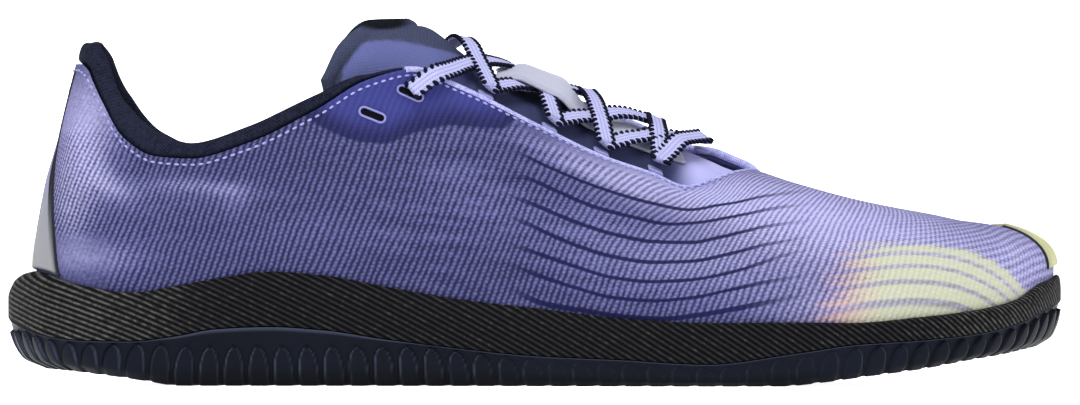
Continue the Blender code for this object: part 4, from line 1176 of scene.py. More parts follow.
def knit_fields(looks, place, up, points, across, down):
    """What the knit's finish reads: where the tones, waves, print, film and slots are."""
    numbers = line_number(WAVES, across, down, onward=True)
    waves = between(WAVES_ACROSS, across) * ramp(0.5, 0.75, numbers) * (1 - ramp(7.3, 7.45, numbers))
    printed = ramp(-7, 9, down - line_at(PRINT_TOP, across)[0])
    printed = printed * ramp(*PRINT_FADE, across - 0.55 * (PRINT_FOOT - down)) * (place <= 1)[:, None]
    film_down, film_steep = line_at(FILM_EDGE, across)
    film = (film_down - down) / np.hypot(1, film_steep) * STEP
    film = np.minimum(film, np.minimum(across - FILM_ENDS[0], FILM_ENDS[1] - across) * STEP)
    smooth = (1 - ramp(*TAB_SMOOTH, across)) * (1 - ramp(*TAB_SMOOTH, down))
    smooth = np.maximum(smooth, (1 - ramp(*FOOT_ACROSS, across)) * ramp(*FOOT_DOWN, down))
    below_edge = (1 - up)[None] * way_along(points, 1)[:, -1:]
    throat = between(THROAT_ACROSS, across) * (1 - ramp(0.0050, 0.0066, below_edge))
    slot = np.full(across.shape, 0.01)
    half = (SLOT_LENGTH - SLOT_WIDTH) / 2
    for row in range(len(SLOTS["side"])):
        centre, normal = slot_place(row)
        along, _ = slot_axes(row, normal)
        offset = points - centre
        length = np.clip(offset @ along, -half, half)
        away = np.linalg.norm(offset - length[..., None] * along, axis=-1)
        slot = np.minimum(slot, away - SLOT_WIDTH / 2)
    fields = {
        # The knit's base tone, with highlights and shade painted on by the zones.
        "tone": looks.knit_tone + zone_sum(TONE_AND_PAINTED_LIGHT_ZONES, across, down),
        "smooth": np.maximum(smooth, throat),
        "heel": (1 - ramp(*HEEL_LINES_ACROSS, across)) * between(HEEL_LINES_DOWN, down),
        "wave": numbers,
        "wave_share": waves,
        "toe_line": line_number(TOE_LINES, across, down),
        "print": printed,
        "warm": 1 - ramp(*WARM_ACROSS, across),
        "film": film,
        "toe_rows": ramp(*TOE_ROWS_ACROSS, across) * (1 - ramp(0.95, 1.0, up))[None],
        "slot": slot,
        "streaks": between(STREAKS_ACROSS, across),
    }
    return {name: np.broadcast_to(values, down.shape) for name, values in fields.items()}


def build_upper(looks):
    """The knitted skin, its rim turned in, with soft troughs and ridges, and the lining behind it."""
    place = full_places(380)
    up = np.concatenate([np.linspace(-0.5, 0, 8)[:-1], np.linspace(0, 1, 84)])
    points = shell(place, up)
    # At the very tip of the toe the shell has no way up, so no normal.
    normals = np.nan_to_num(shell_normals(place, up))
    across, down = side_steps(points)
    fade = ramp(0.0, 0.10, up)[None] * (1 - ramp(0.93, 1.0, up)[None])
    points = points + normals * (relief(points) * fade)[..., None]
    around = mirrored_way(points[:, np.argmin(abs(up - 0.35))])
    uv = uv_map(around[:, None], way_along(points, 1))
    fields = knit_fields(looks, place, up, points, across, down)
    rim = [offset_shell(place, [level], np.array([-depth]))[:, 0] for depth, level in TURNED_IN]
    rim = np.stack(rim, axis=1)
    rim = np.where(np.isfinite(rim), rim, points[:, -1:])
    points = np.concatenate([points, rim], axis=1)

    def carried(values):
        """The values of the edge carried on over the turned-in rim."""
        return np.concatenate([values, np.repeat(values[:, -1:], len(TURNED_IN), axis=1)], axis=1)

    fields = {name: carried(values) for name, values in fields.items()}
    finish = knit_finish(looks)
    knit = smooth_loft("upper_knit", points, carried(uv), finish, wrap_rows=True, fields=fields)
    seat(knit, "upper", "upper")

    place = full_places(120)
    up = np.concatenate([np.linspace(-1, 0, 7)[:-1], np.linspace(0, 0.985, 22)])
    inner = offset_shell(place, up, np.full(len(up), -UPPER_WALL))
    uv = uv_map(mirrored_way(inner[:, 14])[:, None], way_along(inner, 1))
    hem = {"hem": (ramp(0.88, 0.90, up)[None] * ramp(*HEM_ACROSS, side_steps(inner)[0]))[:, ::-1]}
    cloth = plain_cloth("inner_cloth", looks.lining_dark, looks.lining, hem=looks.knit_smooth)
    lining = smooth_loft("upper_lining", inner[:, ::-1], uv[:, ::-1], cloth, wrap_rows=True, fields=hem)
    seat(lining, "upper")


def tube(name, path, radius, material, around, ups, closed=False):
    """A round cord along a path, given the way up at each of its points."""
    along = unit(np.gradient(path, axis=0))
    side = unit(np.cross(along, ups))
    top = np.cross(side, along)
    angle = np.linspace(0, 2 * math.pi, around, endpoint=False)
    spokes = side[:, None] * np.cos(angle)[None, :, None] + top[:, None] * np.sin(angle)[None, :, None]
    rings = path[:, None] + radius * spokes
    way = way_along(path)
    if not closed:
        (rings,) = capped(rings, path[:, None])
        way = np.pad(way, 1)
    uv = uv_map(angle[None] * radius, way[:, None])
    return smooth_loft(name, rings, uv, material, wrap_rows=closed, wrap_columns=True)


def build_throat(looks):
    """The rolled edge round the throat, and the pale rims of the slots."""
    one_way = quarter_turn(np.linspace(*THROAT_SPAN, 160))
    place = np.concatenate([one_way, (2 - one_way)[::-1]])
    edge = offset_shell(place, [1.0], np.array([-ROLL_SINK]))[:, 0]
    up = shell_normals(place, [0.97])[:, 0]
    cloth = plain_cloth("edge_roll", looks.knit_mid, looks.knit_light, 0.0008)
    seat(tube("throat_edge", edge, ROLL_RADIUS, cloth, 12, up), "upper")
    rims = []
    web = plain_cloth("slot_binding", looks.knit_smooth, looks.thread_dark, 0.0008)
    half, radius = (SLOT_LENGTH - SLOT_WIDTH) / 2, SLOT_WIDTH / 2 + 0.0001
    for row in range(len(SLOTS["side"])):
        centre, normal = slot_place(row)
        along, across = slot_axes(row, normal)
        ring = []
        for start, middle in ((-90, half), (90, -half)):
            for angle in np.radians(start + 22.5 * np.arange(9)):
                out = along * (middle + radius * math.cos(angle)) + across * radius * math.sin(angle)
                ring.append(centre + out + normal * 0.0002)
        loop = np.array(ring + ring[:1])
        path = spaced(loop[None], np.linspace(0, 1, 49))[0][:-1]
        ups = np.broadcast_to(normal, path.shape)
        rims.append(tube(f"rim_{row}", path, SLOT_RIM_RADIUS, web, 8, ups, closed=True))
    seat(join_pieces("slot_rims", rims), "upper")


def slot_axes(row, normal):
    """The ways along and across a slot, on the upper's face."""
    lean = math.radians(SLOTS["lean"][row])
    along = np.array([math.cos(lean), 0, -math.sin(lean)])
    along = unit(along - normal * (along @ normal))
    return along, np.cross(normal, along)


def slot_place(row):
    """The middle of a slot on the upper's face, and the way out of it."""
    x, z = at_length(SLOTS["forward"][row]), SLOTS["level"][row] * INSTEP_HEIGHT
    fine = np.linspace(0.30, 0.50, 160)
    places = fine if SLOTS["side"][row] == LATERAL else 2 - fine
    ups = np.linspace(0.5, 1, 60)
    grid = shell(places, ups)
    miss = np.hypot(grid[..., 0] - x, grid[..., 2] - z)
    i, j = np.unravel_index(np.argmin(miss), miss.shape)
    return grid[i, j], shell_normals(places[i : i + 1], ups[j : j + 1])[0, 0]


def build_collar(looks):
    """The padded lining, a full roll round the ankle with a tab at the heel."""
    one_way = np.linspace(0, quarter_turn(LINING["along"][-1]), 150)
    place = np.concatenate([-one_way[:0:-1], one_way])
    _, turn = side_and_turn(place)
    proud = read(LINING, "tab", turn) * TAB_RISE + read(LINING, "proud", turn) * COLLAR_PROUD
    top = shell(place, [1.0])[:, 0]
    inward = -shell_normals(place, [0.97])[:, 0]
    rise = unit(top - shell(place, [0.93])[:, 0])
    pad = (read(LINING, "pad", turn) * COLLAR_PAD)[:, None]
    over = np.clip(proud / (4 * FIT_GAP) - 1, 0, 1)
    against = UPPER_WALL + 2 * FIT_GAP
    deep = COLLAR_DEPTH / (HEEL_HEIGHT - SIDEWALL_HEIGHT)
    sections = []
    for k in (0.0, 0.35, 0.70):
        sections.append(offset_shell(place, [1 - deep * (1 - k)], np.array([-against]))[:, 0])
    step_in = (against * (1 - over) + FIT_GAP * over)[:, None]
    for inset_by in (against, step_in):
        sections.append(top + inward * inset_by + rise * FIT_GAP * 2)
    height = np.maximum(proud, 6 * FIT_GAP)[:, None]
    for across, share in ((-0.03, 0.55), (0.06, 0.93), (0.40, 1.04), (0.80, 0.93), (1.02, 0.60)):
        sections.append(top + inward * (step_in + across * pad) + rise * height * share)
    for k, swell in ((0.93, 1.04), (0.60, 1.05), (0.25, 0.70), (0.0, 0.25)):
        up = [1 - deep * (1 - k)]
        normals = shell_normals(place, up)[:, 0]
        sections.append(shell(place, up)[:, 0] - normals * (against + swell * pad))
    rings = closed_rounds(np.stack(sections, axis=1), 5)
    (rings,) = capped(rings, rings.mean(axis=1, keepdims=True))
    uv = uv_map(way_along(rings[:, 0])[:, None], way_along(rings, 1))
    cloth = plain_cloth("collar_cloth", looks.collar_dark, looks.collar, 0.0010, 0.00016)
    collar = smooth_loft("collar_pad", rings, uv, cloth, wrap_columns=True)
    turn_out(collar)
    seat(collar, "collar_lining", "collar_lining")


def below_rim(place, drop):
    """Points on the upper's face a given way down from its top edge, and the way out there."""
    _, wall = wall_run(place)
    found = []
    for way, run in zip(way_along(wall, 1), wall):
        found.append([np.interp(way[-1] - drop, way, run[:, k]) for k in range(3)])
    return np.array(found), shell_normals(place, [0.96])[:, 0]


def build_rim_stitches(looks):
    """A row of stitches round the whole top edge, and a second one round the throat's end."""
    last = quarter_turn(0.7095)
    rows = []
    for drop, start, count in ((STITCH_DROP, 0.0, 400), (STITCH_DROP_TWO, quarter_turn(0.63), 90)):
        one_way = np.linspace(start, last, count)
        for place in (one_way, 2 - one_way):
            line, normal = below_rim(place, drop)
            line = line + normal * 0.00012
            rows.append((line, unit(np.gradient(line, axis=0))))
    thread = thread_finish("rim_thread", looks.thread_dark, looks.thread)
    seat(bead_rows("rim_stitches", rows, *STITCH_SIZES, thread), "upper")


def closed_rounds(cage, fine):
    """Closed cubic B-splines through rows of control points."""
    t = np.arange(fine) / fine
    weights = [(1 - t) ** 3, 3 * t**3 - 6 * t**2 + 4, -3 * t**3 + 3 * t**2 + 3 * t + 1, t**3]
    weights = np.stack(weights, axis=-1) / 6
    parts = [np.roll(cage, 1 - k, axis=1) for k in range(4)]
    dense = sum(parts[k][:, :, None, :] * weights[None, None, :, k, None] for k in range(4))
    return dense.reshape(cage.shape[0], -1, 3)


def turn_out(piece):
    """A closed piece's faces turned outwards."""
    work = bmesh.new()
    work.from_mesh(piece.data)
    bmesh.ops.recalc_face_normals(work, faces=work.faces)
    work.to_mesh(piece.data)
    work.free()


def thread_finish(name, dark, light):
    """Twisted thread."""
    f = Finish(name, 0.8, Specular_IOR_Level=0.06)
    f.colour(f.mix(f.noise(900, 2), dark, light))
    f.bump(f.noise(2500, 2), 0.0001, 0.6)
    return f.material


def bead_rows(name, rows, pitch, length, width, material):
    """Stitches, or the twisted edge of a lace: small rounded beads at an even pitch along paths."""
    points, ways = (np.concatenate(part) for part in zip(*rows))
    edges, at = [], 0
    for line, _ in rows:
        edges += [(at + k, at + k + 1) for k in range(len(line) - 1)]
        at += len(line)
    mesh = bpy.data.meshes.new(name)
    mesh.from_pydata(points.tolist(), edges, [])
    made = mesh.attributes.new("way", "FLOAT_VECTOR", "POINT")
    made.data.foreach_set("vector", ways.astype(np.float32).reshape(-1))
    holder = placed(name + "_path", mesh)
    tree = bead_tree()
    modifier = holder.modifiers.new("beads", "NODES")
    modifier.node_group = tree
    sizes = {"Pitch": pitch, "Length": length, "Width": width, "Finish": material}
    for item in tree.interface.items_tree:
        if item.item_type == "SOCKET" and item.in_out == "INPUT" and item.name in sizes:
            modifier[item.identifier] = sizes[item.name]
    holder.update_tag()
    bpy.context.view_layer.update()
    plain = bpy.data.meshes.new_from_object(holder.evaluated_get(bpy.context.evaluated_depsgraph_get()))
    holder.modifiers.clear()
    bpy.data.objects.remove(holder)
    plain.name = name
    if not len(plain.polygons):
        raise RuntimeError(name + " came out empty")
    return placed(name, plain)


def bead_tree():
    """The node tree that bead_rows uses: a path in, beads along it out."""
    found = bpy.data.node_groups.get("beads_on_a_path")
    if found:
        return found
    tree = bpy.data.node_groups.new("beads_on_a_path", "GeometryNodeTree")
    sockets = ("Path Geometry", "Pitch Float", "Length Float", "Width Float", "Finish Material")
    for name, kind in (words.split() for words in sockets):
        tree.interface.new_socket(name, in_out="INPUT", socket_type="NodeSocket" + kind)
    tree.interface.new_socket("Beads", in_out="OUTPUT", socket_type="NodeSocketGeometry")

    def node(kind, first=None, inputs=(), **settings):
        """The first output of a new node, its inputs linked or set."""
        made = tree.nodes.new(kind)
        for name, value in settings.items():
            setattr(made, name, value)
        for socket, value in ((0, first), *inputs):
            if isinstance(value, bpy.types.NodeSocket):
                tree.links.new(value, made.inputs[socket])
            elif value is not None:
                made.inputs[socket].default_value = value
        return made.outputs[0]

    start = tree.nodes.new("NodeGroupInput").outputs
    path = node("GeometryNodeMeshToCurve", start["Path"])
    path = node("GeometryNodeResampleCurve", path, [("Length", start["Pitch"])], mode="LENGTH")
    bead = node("GeometryNodeMeshUVSphere", 7, [("Rings", 5), ("Radius", 0.5)])
    size = node("ShaderNodeCombineXYZ", start["Length"], [(1, start["Width"]), (2, start["Width"])])
    way = node("GeometryNodeInputNamedAttribute", "way", data_type="FLOAT_VECTOR")
    turn = node("FunctionNodeAlignRotationToVector", None, [("Vector", way)], axis="X")
    where = [("Instance", bead), ("Rotation", turn), ("Scale", size)]
    beads = node("GeometryNodeInstanceOnPoints", path, where)
    beads = node("GeometryNodeSetShadeSmooth", node("GeometryNodeRealizeInstances", beads))
    beads = node("GeometryNodeSetMaterial", beads, [("Material", start["Finish"])])
    tree.links.new(beads, tree.nodes.new("NodeGroupOutput").inputs[0])
    return tree


def face_normals(face):
    """The ways out of the tongue's face."""
    return unit(np.cross(np.gradient(face, axis=0), np.gradient(face, axis=1)))


def build_tongue(looks):
    """The padded tongue: a soft face, a bound edge and a dark lining."""
    bend = 0.16
    turned = 0.5 * bend * (1 - np.cos(np.linspace(0, math.pi, 26)))
    lengths = np.concatenate([turned, np.linspace(bend, 1, 90)[1:]])
    face = tongue_surface(lengths, np.sin(np.linspace(-math.pi / 2, math.pi / 2, 97)))
    normal = face_normals(face)
    side_way, down_way = way_along(face, 1), way_along(face)
    from_edge = np.minimum(np.minimum(side_way, side_way[:, -1:] - side_way), down_way)
    half = TONGUE_THICKNESS / 2
    swell = np.sqrt(1 - (1 - np.clip(from_edge / half, 0, 1)) ** 2)
    seam = np.exp(-(((from_edge - TONGUE_BAND) / 0.0007) ** 2))
    free = 1 - ramp(0.30, 0.42, lengths)[:, None]
    puff = 0.0006 * ramp(TONGUE_BAND, TONGUE_BAND + 0.004, from_edge) * free - 0.0005 * seam * free
    outer = face - normal * (half * (1 - swell) - puff)[..., None]
    inner = face - normal * (half * (1 + swell))[..., None]
    points = np.concatenate([outer, inner[:, ::-1]], axis=1)
    uv = uv_map(side_way - side_way[:, -1:] / 2, down_way)
    across, down = side_steps(outer)
    band = (1 - ramp(TONGUE_BAND - 0.0003, TONGUE_BAND + 0.0003, from_edge)) * free
    panel = ramp(-1.5, 1.5, np.interp(across, *zip(*TONGUE_PANEL)) - down)
    band = np.maximum(band, panel * (1 - ramp(*PANEL_FADE, across)))
    base = np.broadcast_to(ramp(0.72, 0.79, lengths)[:, None], band.shape)
    # Painted shade: the lining's dark put on the face in the hollow at its top and under the laces.
    x, y, long, wide = TONGUE_HOLLOW
    inside = 1 - ramp(0.7, 1.2, np.hypot((across - x) / long, (down - y) / wide))
    inside = inside * (1 - ramp(0.10, bend, lengths))[:, None]
    shadow = 0.62 * between((0.34, 0.44, 0.70, 0.76), lengths)
    inside = np.maximum(inside, shadow[:, None])
    fields = {}
    for name, front, back in (("band", band, 0.0), ("base", base, 0.0), ("lining", inside, 1.0)):
        fields[name] = np.concatenate([front, np.full(front.shape, back)], axis=1)
    finish, uv = tongue_finish(looks), there_and_back(uv)
    tongue = smooth_loft("tongue_pad", points, uv, finish, wrap_columns=True, fields=fields)
    turn_out(tongue)
    seat(tongue, "tongue", "tongue")


def build_keeper(looks):
    """The silvery strip that holds the laces down the tongue's middle."""
    side = np.linspace(-1, 1, 25)
    trial = np.linspace(0, 0.5, 51)
    half = np.interp(KEEPER_WIDTH / 2, way_along(tongue_surface([0.59], trial)[0]), trial)
    face = tongue_surface(np.linspace(0.42, 0.76, 60), half * side)
    normal = face_normals(face)
    arch = between(KEEPER_ARCHED, side_steps(face)[0].mean(axis=1))
    face = face + normal * (arch[:, None] * (KEEPER_ARCH + KEEPER_TILT * side[None]))[..., None]
    crown = 0.0002 * (1 - side**4)
    outer = face + normal * (FIT_GAP + KEEPER_THICKNESS * 0.75 + crown)[None, :, None]
    inner = face + normal * FIT_GAP
    points = np.concatenate([outer, inner[:, ::-1]], axis=1)
    uv = uv_map(there_and_back(side * KEEPER_WIDTH / 2, 0)[None], way_along(face[:, 12])[:, None])
    edge = np.tile(1 - ramp(0.80, 0.86, abs(side)), 2)
    shade = np.broadcast_to(edge[None] * 0.8, uv.shape[:2])
    points, uv, shade = capped(points, points.mean(axis=1, keepdims=True), uv, shade)
    finish = film_finish("keeper_film", looks.keeper_dark, looks.keeper, looks.keeper_dark, 0.38)
    keeper = smooth_loft("keeper_strip", points, uv, finish, wrap_columns=True, fields={"shade": shade})
    turn_out(keeper)
    seat(keeper, "lace_keeper", "lace_keeper")


def ribbon(name, middle, ups, width, thickness, material, fine=70):
    """A flat soft band along a path: crowned faces and rounded edges."""
    shares = np.linspace(0, 1, len(middle))
    at = np.linspace(0, 1, fine)
    path = np.stack([curve(shares, middle[:, k], at) for k in range(3)], axis=-1)
    up = unit(np.stack([np.interp(at, shares, ups[:, k]) for k in range(3)], axis=-1))
    along = unit(np.gradient(path, axis=0))
    across = unit(np.cross(along, up))
    top = np.cross(across, along)
    angle = np.linspace(0, 2 * math.pi, 28, endpoint=False)
    a = np.sign(np.cos(angle)) * abs(np.cos(angle)) ** 0.45 * width / 2
    b = np.sign(np.sin(angle)) * abs(np.sin(angle)) ** 0.75 * thickness / 2
    rings = path[:, None] + across[:, None] * a[None, :, None] + top[:, None] * b[None, :, None]
    uv, shade = uv_map(a[None], way_along(path)[:, None]), np.full(rings.shape[:2], 0.4)
    rings, uv, shade = capped(rings, path[:, None], uv, shade)
    piece = smooth_loft(name, rings, uv, material, wrap_columns=True, fields={"shade": shade})
    turn_out(piece)
    return piece, path, across, top, along


def lace_runs():
    """The runs of the lace, as the solids have them: middle line and way up along each."""
    turns = lace_turns()
    face = tongue_surface(np.linspace(0, 1, 90), np.linspace(-1, 1, 81))
    runs = []
    for k in range(4):
        runs.append((turns[LATERAL][k], turns[MEDIAL][k + 1], 0.0))
        runs.append((turns[MEDIAL][k], turns[LATERAL][k + 1], LACE_THICKNESS / 2))
    runs.append((turns[LATERAL][4], turns[MEDIAL][4], 0.0))
    made = []
    for start, end, above in runs:
        middle = lace_path(start, end, above, face)
        ups = []
        for stop in (start, end):
            up = stop[1]
            ups.append(up if stop[0][1] < 0 else unit(np.array([up[0], -LACE_TURN, up[2]])))
        shares = np.linspace(0, 1, len(middle))[:, None]
        far = ramp(-0.002, 0.008, middle[:, 1:2])
        middle = middle + far * np.array([0, 0, FAR_LIFT])
        made.append((middle, unit(ups[0] * (1 - shares) + ups[1] * shares)))
    middle, _ = made[-1]
    ups = np.repeat(unit(np.array([LAST_RUN_UP])), len(middle), axis=0)
    made[-1] = (middle + np.array(LAST_RUN_MOVE), ups)
    return made


def build_laces(looks):
    """The flat lace, its twisted dark edges, and the webbing loops that it turns in."""
    finish = lace_finish(looks)
    pieces, rows = [], []
    for number, (middle, ups) in enumerate(lace_runs()):
        width = LACE_WIDTH - 0.0006
        made = ribbon(f"run_{number}", middle, ups, width, LACE_THICKNESS, finish)
        piece, path, across, top, along = made
        pieces.append(piece)
        for side in (-1, 1):
            line = path + across * side * (LACE_WIDTH / 2 - 0.00048) + top * 0.00036
            rows.append((line, unit(along + across * side * 1.5)))
    seat(join_pieces("lace_weave", pieces), "laces", "laces")
    thread = thread_finish("lace_edge_thread", looks.lace_edge_dark, looks.lace_edge)
    seat(bead_rows("lace_edges", rows, looks.lace_bead_pitch, *LACE_BEAD, thread), "laces")
    loops, names = [], []
    web = film_finish("webbing", looks.knit_mid, looks.lace_light, looks.knit_mid, 0.8, 0.0002)
    for side, word in ((LATERAL, "lateral"), (MEDIAL, "medial")):
        for number, along in enumerate(LOOPS[side], 1):
            edge, inward, up = loop_frame(side, along)
            share = np.linspace(0, 1, 7)[:, None]
            reach = LOOP_START + (LOOP_LENGTH - LOOP_START) * share
            middle = edge + inward * reach - up * LOOP_SINK * share
            ups = np.repeat(up[None], 7, axis=0)
            name = f"loop_{word}_{number}"
            piece, *_ = ribbon(name, middle, ups, LOOP_WIDTH, LOOP_THICKNESS, web, 16)
            loops.append(piece)
            names.append("lace_" + name)
    seat(join_pieces("lace_loops", loops), "lace_loop", *names)


def patch(name, ups, starts, ends, thickness, material, thin_from=1.0):
    """An overlay on the upper with thinned edges, between two places at each height."""
    rows, fine, thin_edge = 44, 60, 0.0009
    t, rise = np.linspace(0, 1, fine), np.linspace(0, 1, rows)
    up = np.interp(rise, np.linspace(0, 1, len(ups)), ups)
    start, end = (curve(np.linspace(0, 1, len(side)), side, rise) for side in (starts, ends))
    inward = np.minimum(np.arange(rows), rows - 1 - np.arange(rows))[:, None] * thin_edge
    border = np.minimum(np.minimum(t, 1 - t)[None] * (end - start)[:, None] * 0.26, inward)
    high = OVERLAY_SEAT + thickness * np.sqrt(1 - (1 - np.clip(border / thin_edge, 0, 1)) ** 2)
    high *= 1 - 0.75 * ramp(thin_from, thin_from + 0.3, rise)[:, None]
    grid, base = np.empty((2, rows, fine, 3))
    for i in range(rows):
        place = start[i] + (end[i] - start[i]) * t
        here = shell(place, [up[i]])[:, 0]
        normal = shell_normals(place, [up[i]])[:, 0]
        grid[i] = here + normal * high[i][:, None]
        base[i] = here + normal * OVERLAY_SEAT * 0.5
    points = np.concatenate([grid, base[:, ::-1]], axis=1)
    uv = uv_map(np.arange(rows)[:, None] * 0.001, np.tile(t, 2) * 0.02)
    shade = np.broadcast_to(ramp(0.25, 0.80, rise)[:, None], uv.shape[:2])
    edge = np.tile(1 - ramp(0.0007, 0.0012, border), 2)
    middle = base[:, fine // 2 : fine // 2 + 1]
    points, uv, shade, edge = capped(points, middle, uv, shade, edge)
    fields = {"shade": shade, "rim": edge}
    piece = smooth_loft(name, points, uv, material, wrap_columns=True, fields=fields)
    turn_out(piece)
    return piece


def seam_tube(name, places, ups, radius, material):
    """A thin dark cord on the upper's face, through pairs of place and height."""
    pairs = [(np.array([place]), [up]) for place, up in zip(places, ups)]
    path = np.array([shell(*pair)[0, 0] for pair in pairs])
    ways = np.array([shell_normals(*pair)[0, 0] for pair in pairs])
    return tube(name, path + ways * 0.0001, radius, material, 8, ways)


def build_overlays(looks):
    """The heel panel and the toe bumper, with the dark seams beside them."""
    dark = [looks.heel_edge] * 3
    half = curve((0.0, 0.25, 0.5, 0.75, 1.0), PANEL_HALF, np.linspace(0, 1, 9))
    ups = np.linspace(*PANEL_UPS, 9)
    finish = film_finish("heel_film", looks.heel_grey, looks.heel_blue, looks.heel_edge, 0.55)
    panel = patch("heel_panel_film", ups, -half, half, PANEL_THICKNESS, finish, thin_from=0.45)
    seat(panel, "heel_panel", "heel_panel")
    seam_ups = np.linspace(PANEL_UPS[0], 0.965, 60)
    widths = np.interp(seam_ups, ups, half)
    seams = []
    for side, word in ((1, "outer"), (-1, "inner")):
        finish = film_finish("seam_" + word, *dark)
        seams.append(seam_tube("heel_seam_" + word, widths * side, seam_ups, SEAM_RADIUS, finish))
    seat(join_pieces("heel_seams", seams), "upper")
    start, end = (curve((0.0, 0.5, 1.0), row, np.linspace(0, 1, 7)) for row in BUMPER_ENDS)
    ups = np.linspace(*BUMPER_UPS, 7)
    finish = film_finish("bumper_rubber", looks.lime, looks.lime_dark, looks.lime_edge, 0.5)
    bumper = patch("toe_bumper_film", ups, start, end, BUMPER_THICKNESS, finish)
    seat(bumper, "toe_bumper", "toe_bumper")
    seam_ups = np.linspace(*BUMPER_UPS, 40)
    places = np.interp(seam_ups, ups, start)
    finish = film_finish("bumper_seam", *dark)
    seat(seam_tube("toe_seam", places, seam_ups, TOE_SEAM_RADIUS, finish), "upper")


def level(points, heights):
    """Places seen from above, lifted to their heights."""
    return np.concatenate([points, heights[:, None]], axis=1)


def build_sidewall(looks):
    """The ribbed band between the outsole and the knit."""
    place = full_places(420)
    _, turn = side_and_turn(place)
    edge, out = outline(place), outward(place)
    top = read(BAND, "top", turn) * SIDEWALL_HEIGHT
    foot = read(BAND, "joint", turn) * SIDEWALL_HEIGHT + FIT_GAP
    heights = foot[:, None] + (top - foot)[:, None] * np.array([0.0, 0.30, 0.65, 1.0])
    inner = shell_at_height(place, heights)
    inner[..., :2] += out[:, None] * FIT_GAP
    reach = np.einsum("ij,ij->i", edge - inner[:, -1, :2], out)
    drops = np.concatenate([[0, 0.015, 0.04], np.linspace(0.07, 1, 22)])
    shares = curve((0.0, 0.04, 0.07, 0.25, 0.62, 1.0), (0.0, 0.30, 0.45, 0.80, 1.0, 1.0), drops)
    outer = []
    for drop, share in zip(drops, shares):
        xy = inner[:, -1, :2] + out * (SIDEWALL_LIP + (reach - SIDEWALL_LIP) * share)[:, None]
        outer.append(level(xy, top - (top - foot) * drop))
    points = np.concatenate([inner, np.stack(outer, axis=1)], axis=1)
    way = mirrored_way(edge)
    lean = np.radians(curve(*RIB_LEAN, way / way.max()))
    order = np.argsort(way)
    steps = np.insert(np.diff(way[order]), 0, 0.0)
    run = np.empty_like(way)
    run[order] = np.cumsum(steps * np.sin(lean[order]) / looks.rib_pitch)
    phase = points[..., 2] * (np.cos(lean) / looks.rib_pitch)[:, None] + run[:, None]
    uv = uv_map(way[:, None], points[..., 2])
    forward = share_of_length(points[..., 0])
    # Painted highlights at the heel and toe, as paler flecks on the ribs.
    worn = 1 - ramp(0.06, 0.24, forward) + 0.8 * ramp(0.80, 0.96, forward)
    fields, finish = {"rib": phase, "worn": worn}, ribbed_finish(looks)
    band = smooth_loft("sidewall_rubber", points, uv, finish, True, True, fields)
    turn_out(band)
    seat(band, "sidewall_band", "sidewall_band")


